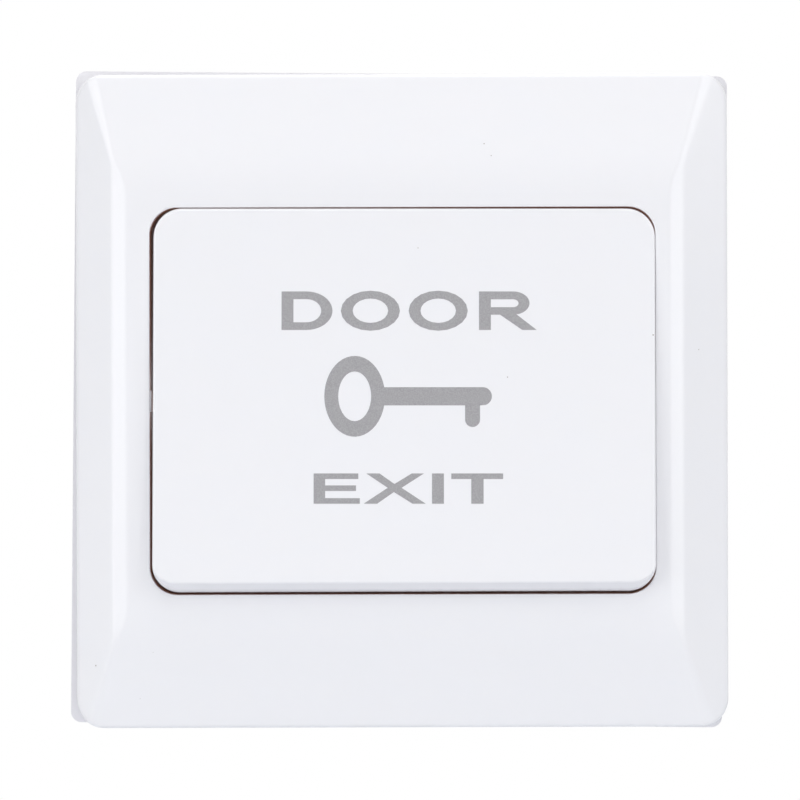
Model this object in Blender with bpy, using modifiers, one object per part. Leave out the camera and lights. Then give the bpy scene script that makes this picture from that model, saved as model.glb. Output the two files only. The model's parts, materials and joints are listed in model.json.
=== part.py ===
# Wall-mounted exit push button on an 86 mm square plate.
# Metres, +Z up. The front faces -Y and the wall is the plane y = 0.
# The origin is the point of the wall on which the button is centred.
# Rocker button at rest: its lower edge stands proud of the cover.

import math

import bmesh
import bpy
from mathutils import Matrix, Vector

mm = 0.001
degree = math.pi / 180

# Front cover: a square moulding with sloped sides
cover_size = 86.0 * mm
cover_height = 9.0 * mm            # wall to the flat front
cover_corner_radius = 3.7 * mm
cover_wall = 1.6 * mm
side_slope_left = 5.1 * mm         # the front's flat part lies a little to the left
side_slope_right = 6.0 * mm
side_slope_rise = 3.5 * mm
side_band_width = 1.95 * mm        # shallow band between side slope and flat front
side_band_rise = 0.5 * mm
fall_length = 16.5 * mm            # front starts to fall this far from its top and bottom edge
fall_radius = 30.0 * mm
fall_angle = 10.5 * degree
cover_edge_round = 0.45 * mm
cover_turn = -0.15 * degree        # seated slightly askew, anticlockwise from the front

# Opening for the button, with a guiding collar behind it
opening_width = 66.5 * mm
opening_height = 50.7 * mm
opening_corner_radius = 3.6 * mm
collar_wall = 1.2 * mm
collar_depth = 2.0 * mm
guide_height = 2.8 * mm            # low pad on the left of the collar, seen in the gap
guide_reach = 0.2 * mm
guide_setback = 0.6 * mm           # behind the front

# Button cap
cap_side_gap = 0.3 * mm            # each side, if it were centred
cap_play = 0.15 * mm               # the cap leans to the right by this much
cap_top_gap = 0.43 * mm            # pressed; at rest the top edge stands 0.2 mm higher
cap_bottom_gap = 0.4 * mm
cap_corner_radius = 3.2 * mm
cap_wall = 1.5 * mm
cap_face = 1.95 * mm
cap_rise = 0.25 * mm               # face in front of the cover's, when pressed
cap_edge_round = 0.4 * mm
cap_bevel_width = 1.15 * mm        # bevel along the lower edge
cap_bevel_depth = 2.85 * mm
cap_swing = 2.55 * mm              # travel of the lower edge
cap_rib_height = 1.4 * mm
cap_rib_thickness = 0.9 * mm
cap_rib_count = 4

# Hinge of the button
hinge_drop = 4.6 * mm              # axis below the top edge of the cap
trunnion_radius = 1.2 * mm
trunnion_slack = 0.3 * mm
ear_thickness = 2.2 * mm
ear_margin = 1.1 * mm              # material beside the trunnion bore
ear_side_gap = 0.4 * mm
ear_front_gap = 0.39 * mm          # ear to the inside of the cap
trunnion_overhang = 0.4 * mm       # past the ear
snap_mouth = 2.0 * mm              # narrower than the trunnion, which snaps through it

# Rocker carrier behind the cap
carrier_thickness = 1.2 * mm
carrier_margin = 3.37 * mm         # lower edge to the inside of the cap's lower wall
carrier_rise = 5.0 * mm            # plate ends this far below the hinge axis
carrier_corner_radius = 1.5 * mm
arm_thickness = 1.5 * mm
arm_overlap = 4.5 * mm             # arms run down the plate this far
arm_margin = 0.3 * mm              # arm above the trunnion
rib_thickness = 1.2 * mm
rib_height = 0.8 * mm
rib_spacing = 16.0 * mm
rib_inset = 1.5 * mm               # rib ends short of the carrier's edges
lug_thickness = 1.3 * mm           # snap lugs of the cap that hold the carrier
lug_height = 5.0 * mm
lug_hook = 1.1 * mm
lug_hook_depth = 0.6 * mm
upper_lug_drop = 16.4 * mm         # below the hinge axis
lower_lug_rise = 6.0 * mm          # above the carrier's lower edge

# Wall plate
plate_thickness = 2.5 * mm
plate_corner_radius = 1.4 * mm
plate_turn = 0.45 * degree         # screwed on slightly askew, clockwise from the front
plate_shift = Vector((-0.4 * mm, 0.0, 0.19 * mm))
plate_margin = 0.15 * mm           # larger than the cover on each side
plate_recess = 0.9 * mm            # hollow of the back face
plate_border = 2.2 * mm
plate_rib = 1.2 * mm
plate_rib_offset = 8.0 * mm        # level ribs above and below the window's frame
plate_rib_spacing = 39.2 * mm      # upright ribs
plate_to_cover = 0.3 * mm
slot_spacing = 60.3 * mm
slot_width = 5.0 * mm
slot_height = 9.0 * mm
slot_sink_margin = 2.1 * mm        # sunk seat for the screw head around each slot
slot_sink_depth = 1.0 * mm
boss_margin = 1.4 * mm             # plate keeps its full thickness this far round the sunk seat
locating_height = 0.9 * mm         # low rails inside the cover's sides
locating_thickness = 1.2 * mm
locating_gap = 1.2 * mm
locating_length = 60.0 * mm
latch_spacing = 36.0 * mm
latch_width = 9.0 * mm
latch_thickness = 1.2 * mm
latch_height = 2.1 * mm
latch_lip = 1.1 * mm
latch_lip_depth = 0.7 * mm
latch_gap = 2.0 * mm               # cover wall to the latch
hook_reach = 1.3 * mm              # hooks of the cover, behind the latch lips
hook_depth = 0.7 * mm
hook_width = 7.0 * mm
hook_inset = 0.1 * mm              # inside the cover's back edge
pry_width = 8.0 * mm
pry_depth = 1.2 * mm
pry_height = 0.9 * mm

# Switch mechanism housing
plunger_rise = 12.08 * mm          # above the carrier's lower edge
flange_thickness = 1.3 * mm
flange_overlap = 6.0 * mm          # past the body at the sides
flange_lower_overlap = 3.0 * mm
flange_corner_radius = 2.0 * mm
housing_width = 38.0 * mm
housing_height = 24.0 * mm
housing_corner_radius = 1.5 * mm
housing_wall = 1.6 * mm
bay_width = 6.4 * mm
partition_wall = 1.6 * mm
window_gap = 0.5 * mm
bay_floor = 1.3 * mm
rear_margin = 0.35 * mm            # bay walls past the terminal screw heads
wire_notch_width = 4.8 * mm
wire_notch_depth = 7.0 * mm
seat_gap = 0.3 * mm                # between pieces that touch

# Plunger with its return spring
plunger_radius = 2.0 * mm
plunger_slack = 0.25 * mm
plunger_head_radius = 3.6 * mm
plunger_head_thickness = 1.0 * mm
plunger_dome = 0.35 * mm           # crown of the head
plunger_collar_radius = 3.0 * mm
plunger_collar_thickness = 0.8 * mm
plunger_tail_radius = 1.2 * mm
plunger_tip_radius = 1.9 * mm
plunger_tip_thickness = 0.7 * mm
well_radius = 4.3 * mm
well_depth = 2.5 * mm
well_floor = 1.0 * mm
plunger_spring_radius = 3.0 * mm
plunger_spring_wire = 0.4 * mm
plunger_spring_turns = 5

# Springs under the button
button_spring_inset = 4.0 * mm     # from the lower face of the housing
button_spring_radius = 2.0 * mm
button_spring_wire = 0.45 * mm
button_spring_turns = 6
spring_well_radius = 2.9 * mm
spring_well_wall = 0.8 * mm
spring_post_radius = 1.1 * mm
spring_post_height = 0.9 * mm

# Contacts
contact_spring_length = 1.8 * mm
contact_spring_radius = 1.9 * mm
contact_spring_wire = 0.3 * mm
contact_spring_turns = 4
bridge_thickness = 0.7 * mm
bridge_height = 4.6 * mm
bridge_corner_radius = 1.5 * mm
bridge_end_margin = 0.8 * mm       # bridge past the contacts
contact_inset = 2.9 * mm           # from the chamber's side wall
contact_radius = 1.3 * mm
contact_thickness = 0.5 * mm
contact_crown = 0.15 * mm
contact_shank_radius = 0.6 * mm
contact_clinch_radius = 1.1 * mm   # head of the rivet in front of the bridge
contact_gap_closed = 0.08 * mm     # left between the tips with the button pressed

# Terminals
terminal_thickness = 0.8 * mm
terminal_height = 5.2 * mm
terminal_inner_margin = 2.0 * mm
terminal_leg = 2.2 * mm
terminal_rest_margin = 0.3 * mm
terminal_collar_radius = 2.5 * mm
terminal_collar_depth = 1.2 * mm
clamp_thickness = 0.8 * mm
clamp_width = 5.0 * mm
clamp_lip = 0.6 * mm
terminal_screw_radius = 1.5 * mm
terminal_screw_length = 7.5 * mm
terminal_screw_head_radius = 2.4 * mm
terminal_screw_head_height = 1.4 * mm
terminal_screw_chamfer = 0.4 * mm
screw_recess_width = 0.55 * mm
screw_recess_depth = 0.8 * mm
screw_recess_margin = 0.75 * mm    # head past the ends of its cross

# Lid over the contact chamber
lid_thickness = 1.2 * mm
lid_corner_radius = 1.2 * mm
lid_gap = 0.3 * mm
lid_leg_width = 8.0 * mm
lid_leg_thickness = 1.0 * mm
lid_leg_length = 4.0 * mm
lid_leg_tip = 0.9 * mm             # material past the leg's window
lid_window_width = 4.6 * mm
lid_window_depth = 1.6 * mm

# Screws that hold the housing to the wall plate
module_screw_offset = 3.3 * mm     # from the side of the housing
module_screw_radius = 1.0 * mm
module_screw_length = 3.6 * mm
module_screw_head_radius = 2.0 * mm
module_screw_head_height = 1.2 * mm
module_screw_chamfer = 0.35 * mm
screw_slack = 0.3 * mm

# Facets
corner_segments = 7
round_segments = 28
small_segments = 20
coil_points = 12
fall_segments = 5
round_end = 0.488                  # a slot's corner radius is this share of its width, just under a half
closed_pitch = 1.12                # share of the wire's width between a spring's closed end turns

# Places across the front, as x and z
plate_size = cover_size + 2 * plate_margin
opening_half_height = opening_height / 2
cap_width = opening_width - 2 * cap_side_gap
cap_height = opening_height - cap_top_gap - cap_bottom_gap
hinge_z = opening_half_height - cap_top_gap - hinge_drop
cap_lever = cap_height - hinge_drop
press_angle = math.asin(cap_swing / cap_lever)
cap_bottom = cap_bottom_gap - opening_half_height
carrier_lower = cap_bottom + cap_wall + carrier_margin
lug_levels = (hinge_z - upper_lug_drop, carrier_lower + lower_lug_rise)
mechanism_z = carrier_lower + plunger_rise
plunger_lever = hinge_z - mechanism_z
spring_z = mechanism_z - housing_height / 2 + button_spring_inset
spring_lever = hinge_z - spring_z
carrier_width = housing_width
ear_inner = carrier_width / 2 + ear_side_gap
trunnion_end = ear_inner + ear_thickness + trunnion_overhang
bay_outer = housing_width / 2 - housing_wall
bay_inner = bay_outer - bay_width
chamber_width = 2 * (bay_inner - partition_wall)
contact_x = chamber_width / 2 - contact_inset
bay_middle = (bay_inner + bay_outer) / 2
terminal_outer = bay_outer - seat_gap
module_screw_x = housing_width / 2 + module_screw_offset
lid_half_width = bay_inner - seat_gap

# Places from front to back, as y
cover_front = -cover_height
plate_front = -plate_thickness
cover_back = plate_front - plate_to_cover
flange_back = plate_front - seat_gap
flange_front = flange_back - flange_thickness
cap_front = cover_front - cap_rise
cap_inside = cap_front + cap_face
carrier_front = cap_inside + seat_gap
carrier_back = carrier_front + carrier_thickness
ear_bore = trunnion_radius + trunnion_slack
hinge_y = flange_front - ear_bore
ear_front = cap_inside + ear_front_gap
cap_back = flange_front - seat_gap
plunger_travel = plunger_lever * math.tan(press_angle)
plunger_front = carrier_back + seat_gap - plunger_travel
well_seat = flange_front + well_depth
floor_back = well_seat + well_floor
collar_front = floor_back + seat_gap
collar_back = collar_front + plunger_collar_thickness
bridge_front = collar_back + contact_spring_length + seat_gap
bridge_back = bridge_front + bridge_thickness
moving_tip_back = bridge_back + seat_gap + contact_thickness
fixed_tip_front = moving_tip_back + plunger_travel + contact_gap_closed
terminal_front = fixed_tip_front + contact_thickness + seat_gap
terminal_back = terminal_front + terminal_thickness
clamp_front = terminal_back + seat_gap
clamp_back = clamp_front + clamp_thickness
screw_head_front = clamp_back + seat_gap
screw_head_back = screw_head_front + terminal_screw_head_height
housing_back = screw_head_back + rear_margin
lid_front = terminal_back + lid_gap
lid_back = lid_front + lid_thickness
lid_window_front = lid_front - lid_leg_length + lid_leg_tip

# Places of an outline's plane: the outline's two axes and the way it is extruded
outline_planes = {
    "X": Matrix(((0, 0, 1, 0), (1, 0, 0, 0), (0, 1, 0, 0), (0, 0, 0, 1))),    # outline in y, z
    "Y": Matrix(((1, 0, 0, 0), (0, 0, -1, 0), (0, 1, 0, 0), (0, 0, 0, 1))),   # outline in x, z
    "Z": Matrix.Identity(4),                                                 # outline in x, y
}


def clear_scene():
    for item in list(bpy.data.objects):
        bpy.data.objects.remove(item, do_unlink=True)


def new_collection(name):
    group = bpy.data.collections.new(name)
    bpy.context.scene.collection.children.link(group)
    return group


def new_material(name, colour, roughness, metallic=0.0):
    material = bpy.data.materials.new(name)
    material.use_nodes = True
    shader = material.node_tree.nodes["Principled BSDF"]
    shader.inputs["Base Color"].default_value = (*colour, 1.0)
    shader.inputs["Roughness"].default_value = roughness
    shader.inputs["Metallic"].default_value = metallic
    return material


def new_pivot(name, place, turn=(0.0, 0.0, 0.0), carrier=None):
    pivot = bpy.data.objects.new(name, None)
    pivot.location = place
    pivot.rotation_euler = turn
    pivot.parent = carrier
    pivot.empty_display_size = 5 * mm
    parts.objects.link(pivot)
    return pivot


def place_mesh(name, mesh, pivot=None):
    # The mesh is drawn in the wall's frame, so it is moved back by the pivot's place.
    item = bpy.data.objects.new(name, mesh)
    tools.objects.link(item)
    item.hide_render = True
    item.display_type = "WIRE"
    if pivot:
        mesh.transform(Matrix.Translation(-pivot.location))
        item.parent = pivot
    return item


def finish_part(item, name, material, smooth_angle=30 * degree):
    # A tool becomes a part: it is named, shown and given its material.
    item.name = name
    item.data.name = name
    tools.objects.unlink(item)
    parts.objects.link(item)
    item.hide_render = False
    item.display_type = "TEXTURED"
    item.data.materials.clear()
    item.data.materials.append(material)
    item.data.shade_smooth()
    item.data.set_sharp_from_angle(angle=smooth_angle)
    return item


def rounded_rectangle(width, height, radius, centre=(0.0, 0.0)):
    points = []
    corners = ((1, 1), (-1, 1), (-1, -1), (1, -1))
    for quarter, (side, up) in enumerate(corners):
        middle_x = centre[0] + side * (width / 2 - radius)
        middle_y = centre[1] + up * (height / 2 - radius)
        for step in range(corner_segments + 1):
            angle = (quarter + step / corner_segments) * math.pi / 2
            points.append((middle_x + radius * math.cos(angle), middle_y + radius * math.sin(angle)))
    return points


def slab(name, outline, axis, low, high, pivot=None):
    # A flat outline extruded from low to high along the axis, as a closed mesh.
    curve = bpy.data.curves.new(name, "CURVE")
    curve.dimensions = "2D"
    curve.fill_mode = "BOTH"
    curve.extrude = abs(high - low) / 2
    spline = curve.splines.new("POLY")
    spline.points.add(len(outline) - 1)
    for point, (first, second) in zip(spline.points, outline):
        point.co = (first, second, 0.0, 1.0)
    spline.use_cyclic_u = True
    drawn = bpy.data.objects.new(name, curve)
    tools.objects.link(drawn)
    drawn.matrix_world = outline_planes[axis]
    bpy.context.view_layer.update()
    depsgraph = bpy.context.evaluated_depsgraph_get()
    mesh = bpy.data.meshes.new_from_object(drawn.evaluated_get(depsgraph))
    mesh.transform(outline_planes[axis])
    middle = Vector((0.0, 0.0, 0.0))
    middle["XYZ".index(axis)] = (low + high) / 2
    mesh.transform(Matrix.Translation(middle))
    bpy.data.objects.remove(drawn, do_unlink=True)
    work = bmesh.new()
    work.from_mesh(mesh)
    bmesh.ops.remove_doubles(work, verts=work.verts, dist=0.001 * mm)
    bmesh.ops.recalc_face_normals(work, faces=work.faces)
    work.to_mesh(mesh)
    work.free()
    return place_mesh(name, mesh, pivot)


def block(name, x_range, y_range, z_range, pivot=None):
    mesh = bpy.data.meshes.new(name)
    work = bmesh.new()
    bmesh.ops.create_cube(work, size=1.0)
    size = [high - low for low, high in (x_range, y_range, z_range)]
    middle = [(high + low) / 2 for low, high in (x_range, y_range, z_range)]
    bmesh.ops.scale(work, vec=size, verts=work.verts)
    bmesh.ops.translate(work, vec=middle, verts=work.verts)
    work.to_mesh(mesh)
    work.free()
    return place_mesh(name, mesh, pivot)


def rod(name, radius, low, high, centre, axis="Y", pivot=None, segments=small_segments):
    # A cylinder along the axis. The centre gives the two other coordinates, in their order.
    mesh = bpy.data.meshes.new(name)
    work = bmesh.new()
    bmesh.ops.create_cone(work, cap_ends=True, segments=segments,
                          radius1=radius, radius2=radius, depth=high - low)
    along = {"X": Matrix.Rotation(math.pi / 2, 4, "Y"), "Y": Matrix.Rotation(math.pi / 2, 4, "X")}
    place = list(centre)
    place.insert("XYZ".index(axis), (low + high) / 2)
    bmesh.ops.transform(work, matrix=Matrix.Translation(place) @ along[axis], verts=work.verts)
    bmesh.ops.recalc_face_normals(work, faces=work.faces)
    work.to_mesh(mesh)
    work.free()
    return place_mesh(name, mesh, pivot)


def turned(name, profile, centre, pivot=None, segments=small_segments):
    # A turned piece along Y. The profile holds radius and y, from its back end to its front end.
    mesh = bpy.data.meshes.new(name)
    work = bmesh.new()
    ends = [work.verts.new((radius, 0.0, y)) for radius, y in profile]
    for first, second in zip(ends, ends[1:]):
        work.edges.new((first, second))
    work.to_mesh(mesh)
    work.free()
    item = place_mesh(name, mesh)
    item.rotation_euler = (-math.pi / 2, 0.0, 0.0)
    item.location = (centre[0], 0.0, centre[1])
    if pivot:
        item.parent = pivot
        item.location -= pivot.location
    spin = item.modifiers.new("Turn", "SCREW")
    spin.angle = 2 * math.pi
    spin.steps = segments
    spin.render_steps = segments
    spin.use_merge_vertices = True
    spin.merge_threshold = 0.00001
    spin.use_smooth_shade = True
    return item


def coil(name, radius, wire, turns, front, back, centre, material, pivot=None):
    # A compression spring along Y whose first and last turns lie closed.
    curve = bpy.data.curves.new(name, "CURVE")
    curve.dimensions = "3D"
    curve.bevel_depth = wire / 2
    curve.bevel_resolution = 2
    curve.use_fill_caps = True
    count = turns * coil_points + 1
    start = front + wire / 2
    end = back - wire / 2
    closed = closed_pitch * wire
    pitch = (end - start - 2 * closed) / (turns - 2)
    spline = curve.splines.new("POLY")
    spline.points.add(count - 1)
    for index, point in enumerate(spline.points):
        turn = index / coil_points
        if turn < 1:
            y = start + closed * turn
        elif turn > turns - 1:
            y = end - closed * (turns - turn)
        else:
            y = start + closed + pitch * (turn - 1)
        angle = 2 * math.pi * turn
        x = centre[0] + radius * math.cos(angle)
        z = centre[1] + radius * math.sin(angle)
        point.co = (x, y, z, 1.0)
    curve.materials.append(material)
    item = bpy.data.objects.new(name, curve)
    parts.objects.link(item)
    if pivot:
        curve.transform(Matrix.Translation(-pivot.location))
        item.parent = pivot
    return item


def combine(body, tool, operation):
    step = body.modifiers.new(tool.name, "BOOLEAN")
    step.operation = operation
    step.solver = "EXACT"
    step.object = tool
    return body


def add(body, *pieces):
    for piece in pieces:
        combine(body, piece, "UNION")


def cut(body, *pieces):
    for piece in pieces:
        combine(body, piece, "DIFFERENCE")


def round_edges(body, width, segments=2, angle=40 * degree):
    bevel = body.modifiers.new("Round", "BEVEL")
    bevel.width = width
    bevel.segments = segments
    bevel.limit_method = "ANGLE"
    bevel.angle_limit = angle
    bevel.harden_normals = False


def cross_recess(name, head_radius, centre, head_end):
    # Two crossed slots in a screw head, sunk from its end.
    half_length = head_radius - screw_recess_margin
    half_width = screw_recess_width / 2
    depth = (head_end - screw_recess_depth, head_end + screw_recess_depth)
    upright = block(name + "_upright", (centre[0] - half_width, centre[0] + half_width), depth,
                    (centre[1] - half_length, centre[1] + half_length))
    level = block(name + "_level", (centre[0] - half_length, centre[0] + half_length), depth,
                  (centre[1] - half_width, centre[1] + half_width))
    return upright, level


def cover_form(name, inset, back):
    # The cover's outside, or its inside where an inset is given.
    half = cover_size / 2 - inset
    front = cover_front + inset
    flat_half = cover_size / 2 - fall_length
    rim = front + side_band_rise + side_slope_rise
    side = []
    for way, slope_width in ((1, side_slope_right), (-1, side_slope_left)):
        slope_end = half - slope_width
        band_end = slope_end - side_band_width
        profile = [(half, back), (half, rim), (slope_end, front + side_band_rise), (band_end, front)]
        side += [(way * x, y) for x, y in profile[::way]]
    arc = []
    for step in range(1, fall_segments + 1):
        angle = fall_angle * step / fall_segments
        arc.append((front + fall_radius * (1 - math.cos(angle)), flat_half + fall_radius * math.sin(angle)))
    edge = arc[-1][0] + (half - arc[-1][1]) * math.tan(fall_angle)
    fall = [(back, half), (edge, half)] + arc[::-1] + [(front, flat_half)]
    fall += [(y, -z) for y, z in reversed(fall)]
    square = rounded_rectangle(2 * half, 2 * half, cover_corner_radius - inset)
    form = slab(name, square, "Y", front - mm, back, cover_seat)
    sides = slab(name + "_sides", side, "Z", -cover_size, cover_size, cover_seat)
    falls = slab(name + "_falls", fall, "X", -cover_size, cover_size, cover_seat)
    combine(form, sides, "INTERSECT")
    combine(form, falls, "INTERSECT")
    return form


def make_front_cover():
    cover = cover_form("front_cover", 0.0, cover_back + mm)
    round_edges(cover, cover_edge_round, 2, 50 * degree)
    cut(cover, block("cover_back_cut", (-cover_size, cover_size), (cover_back, cover_back + 2 * mm),
                     (-cover_size, cover_size), cover_seat))
    cut(cover, cover_form("cover_inside", cover_wall, cover_back + mm))
    collar_width = opening_width + 2 * collar_wall
    collar_height = opening_height + 2 * collar_wall
    collar_front = cover_front + cover_wall / 2
    collar_outline = rounded_rectangle(collar_width, collar_height, opening_corner_radius + collar_wall)
    collar = slab("cover_collar", collar_outline, "Y", collar_front,
                  cover_front + cover_wall + collar_depth, cover_seat)
    add(cover, collar)
    wall_inside = cover_size / 2 - cover_wall
    hook_back = cover_back - hook_inset
    for side in (-1, 1):
        for up in (-1, 1):
            middle = side * latch_spacing / 2
            low, high = sorted((up * (wall_inside - hook_reach), up * (wall_inside + cover_wall / 2)))
            hook = block("cover_hook", (middle - hook_width / 2, middle + hook_width / 2),
                         (hook_back - hook_depth, hook_back), (low, high), cover_seat)
            add(cover, hook)
    opening_outline = rounded_rectangle(opening_width, opening_height, opening_corner_radius)
    cut(cover, slab("cover_opening", opening_outline, "Y", cover_front - mm, cover_back + mm, cover_seat))

    # The guide pad is rooted in the middle of the collar's left wall
    guide_across = (-opening_width / 2 - collar_wall / 2, guide_reach - opening_width / 2)
    guide_back = cover_front + cover_wall + collar_depth - seat_gap
    add(cover, block("cover_guide", guide_across, (cover_front + guide_setback, guide_back),
                     (-guide_height / 2, guide_height / 2), cover_seat))
    finish_part(cover, "front_cover", white_abs)


def make_wall_plate():
    plate_outline = rounded_rectangle(plate_size, plate_size, plate_corner_radius)
    plate = slab("wall_plate", plate_outline, "Y", plate_front, 0.0, plate_seat)
    field_size = plate_size - 2 * plate_border
    field = slab("plate_field", rounded_rectangle(field_size, field_size, plate_corner_radius),
                 "Y", -plate_recess, mm, plate_seat)

    # The hollow stops short of the housing window, the slots and the ribs
    past = (-plate_thickness, 2 * mm)
    frame_width = housing_width + 2 * flange_overlap + 2 * window_gap
    frame_height = housing_height + 2 * (flange_overlap + window_gap)
    frame = rounded_rectangle(frame_width, frame_height, flange_corner_radius, (0.0, mechanism_z))
    cut(field, slab("plate_window_frame", frame, "Y", *past, plate_seat))
    sink_width = slot_width + 2 * slot_sink_margin
    sink_height = slot_height + 2 * slot_sink_margin
    boss_width = sink_width + 2 * boss_margin
    boss_height = sink_height + 2 * boss_margin
    for side in (-1, 1):
        middle = side * slot_spacing / 2
        boss = rounded_rectangle(boss_width, boss_height, round_end * boss_width, (middle, 0.0))
        cut(field, slab("plate_boss", boss, "Y", *past, plate_seat))
        x = side * plate_rib_spacing / 2
        cut(field, block("plate_rib_upright", (x - plate_rib / 2, x + plate_rib / 2), past,
                         (-plate_size, plate_size), plate_seat))
    for up in (-1, 1):
        level = mechanism_z + up * (frame_height / 2 + plate_rib_offset)
        cut(field, block("plate_rib_level", (-plate_size, plate_size), past,
                         (level - plate_rib / 2, level + plate_rib / 2), plate_seat))
    cut(plate, field)

    # Locating rails and latches on the front
    rail_outer = cover_size / 2 - cover_wall - locating_gap
    rail_back = plate_front + plate_thickness / 4
    for side in (-1, 1):
        low, high = sorted((side * rail_outer, side * (rail_outer - locating_thickness)))
        rail = block("plate_rail", (low, high), (plate_front - locating_height, rail_back),
                     (-locating_length / 2, locating_length / 2), plate_seat)
        add(plate, rail)
    latch_outer = cover_size / 2 - cover_wall - latch_gap
    latch_front = plate_front - latch_height
    for side in (-1, 1):
        middle = side * latch_spacing / 2
        across = (middle - latch_width / 2, middle + latch_width / 2)
        for up in (-1, 1):
            low, high = sorted((up * latch_outer, up * (latch_outer - latch_thickness)))
            tab = block("plate_latch", across, (latch_front, rail_back), (low, high), plate_seat)
            low, high = sorted((up * (latch_outer - latch_thickness / 2), up * (latch_outer + latch_lip)))
            lip = block("plate_latch_lip", across, (latch_front, latch_front + latch_lip_depth),
                        (low, high), plate_seat)
            add(plate, tab, lip)

    # Sunk slots for the wall screws, and the notch for prising the cover off
    for side in (-1, 1):
        middle = side * slot_spacing / 2
        sink = rounded_rectangle(sink_width, sink_height, round_end * sink_width, (middle, 0.0))
        cut(plate, slab("plate_sink", sink, "Y", plate_front - mm, plate_front + slot_sink_depth, plate_seat))
        slot = rounded_rectangle(slot_width, slot_height, round_end * slot_width, (middle, 0.0))
        cut(plate, slab("plate_slot", slot, "Y", plate_front - mm, mm, plate_seat))
    pry_top = -plate_size / 2 + pry_height
    cut(plate, block("plate_pry_notch", (-pry_width / 2, pry_width / 2),
                     (plate_front - mm, plate_front + pry_depth),
                     (pry_top - 2 * pry_height, pry_top), plate_seat))

    # Window and screw holes line up with the housing, which stands square
    window_width = housing_width + 2 * window_gap
    window_height = housing_height + 2 * window_gap
    window = rounded_rectangle(window_width, window_height, housing_corner_radius, (0.0, mechanism_z))
    cut(plate, slab("plate_window", window, "Y", plate_front - mm, mm))
    for side in (-1, 1):
        cut(plate, rod("plate_screw_hole", module_screw_radius + screw_slack, plate_front - mm, mm,
                       (side * module_screw_x, mechanism_z)))
    finish_part(plate, "wall_plate", plate_abs)


def make_button_cap():
    middle = (cap_play, opening_half_height - cap_top_gap - cap_height / 2)
    outline = rounded_rectangle(cap_width, cap_height, cap_corner_radius, middle)
    cap = slab("button_cap", outline, "Y", cap_front, cap_back, button_pivot)
    top = middle[1] + cap_height / 2 + mm
    bottom = middle[1] - cap_height / 2
    section = [(cap_back + mm, top), (cap_front, top), (cap_front, bottom + cap_bevel_width),
               (cap_front + cap_bevel_depth, bottom), (cap_back + mm, bottom - mm)]
    bevelled = slab("cap_section", section, "X", -cap_width, cap_width, button_pivot)
    combine(cap, bevelled, "INTERSECT")
    round_edges(cap, cap_edge_round, 3, 50 * degree)
    inside = rounded_rectangle(cap_width - 2 * cap_wall, cap_height - 2 * cap_wall,
                               cap_corner_radius - cap_wall, middle)
    cut(cap, slab("cap_inside", inside, "Y", cap_inside, cap_back + mm, button_pivot))

    # Stiffening ribs at both sides, beyond the trunnions
    rib_inner = trunnion_end + cap_play + 2 * seat_gap
    rib_outer = cap_width / 2 - cap_wall / 2
    for side in (-1, 1):
        for index in range(cap_rib_count):
            level = middle[1] + cap_height * ((index + 0.5) / cap_rib_count - 0.5)
            low, high = sorted((cap_play + side * rib_inner, cap_play + side * rib_outer))
            rib = block("cap_rib", (low, high), (cap_inside - cap_face / 2, cap_inside + cap_rib_height),
                        (level - cap_rib_thickness / 2, level + cap_rib_thickness / 2), button_pivot)
            add(cap, rib)

    # Snap lugs that grip the edges of the carrier
    lug_inner = carrier_width / 2 + seat_gap
    hook_front = carrier_back + seat_gap
    hook_back = hook_front + lug_hook_depth
    for side in (-1, 1):
        for middle_z in lug_levels:
            level = (middle_z - lug_height / 2, middle_z + lug_height / 2)
            low, high = sorted((side * lug_inner, side * (lug_inner + lug_thickness)))
            lug = block("cap_lug", (low, high), (cap_inside - cap_face / 2, hook_back), level, button_pivot)
            low, high = sorted((side * (lug_inner - lug_hook), side * (lug_inner + lug_thickness / 2)))
            hook = block("cap_lug_hook", (low, high), (hook_front, hook_back), level, button_pivot)
            add(cap, lug, hook)
    finish_part(cap, "button_cap", white_abs)


def make_rocker_carrier():
    half = carrier_width / 2
    upper = hinge_z - carrier_rise
    outline = rounded_rectangle(carrier_width, upper - carrier_lower, carrier_corner_radius,
                                (0.0, (upper + carrier_lower) / 2))
    carrier = slab("rocker_carrier", outline, "Y", carrier_front, carrier_back, button_pivot)
    arm_back = hinge_y + trunnion_radius
    arm_top = hinge_z + trunnion_radius + arm_margin
    arm_foot = upper - arm_overlap
    for side in (-1, 1):
        low, high = sorted((side * half, side * (half - arm_thickness)))
        arm = block("carrier_arm", (low, high), (carrier_front, arm_back), (arm_foot, arm_top), button_pivot)
        low, high = sorted((side * (half - arm_thickness / 2), side * trunnion_end))
        trunnion = rod("carrier_trunnion", trunnion_radius, low, high, (hinge_y, hinge_z), "X", button_pivot)
        add(carrier, arm, trunnion)
        rib_x = side * rib_spacing / 2
        rib = block("carrier_rib", (rib_x - rib_thickness / 2, rib_x + rib_thickness / 2),
                    (carrier_front + carrier_thickness / 2, carrier_back + rib_height),
                    (carrier_lower + rib_inset, upper - rib_inset), button_pivot)
        post = rod("carrier_spring_post", spring_post_radius, carrier_front + carrier_thickness / 2,
                   carrier_back + spring_post_height, (side * bay_middle, spring_z),
                   pivot=button_pivot)
        add(carrier, rib, post)
    finish_part(carrier, "rocker_carrier", inner_plastic)


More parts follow.
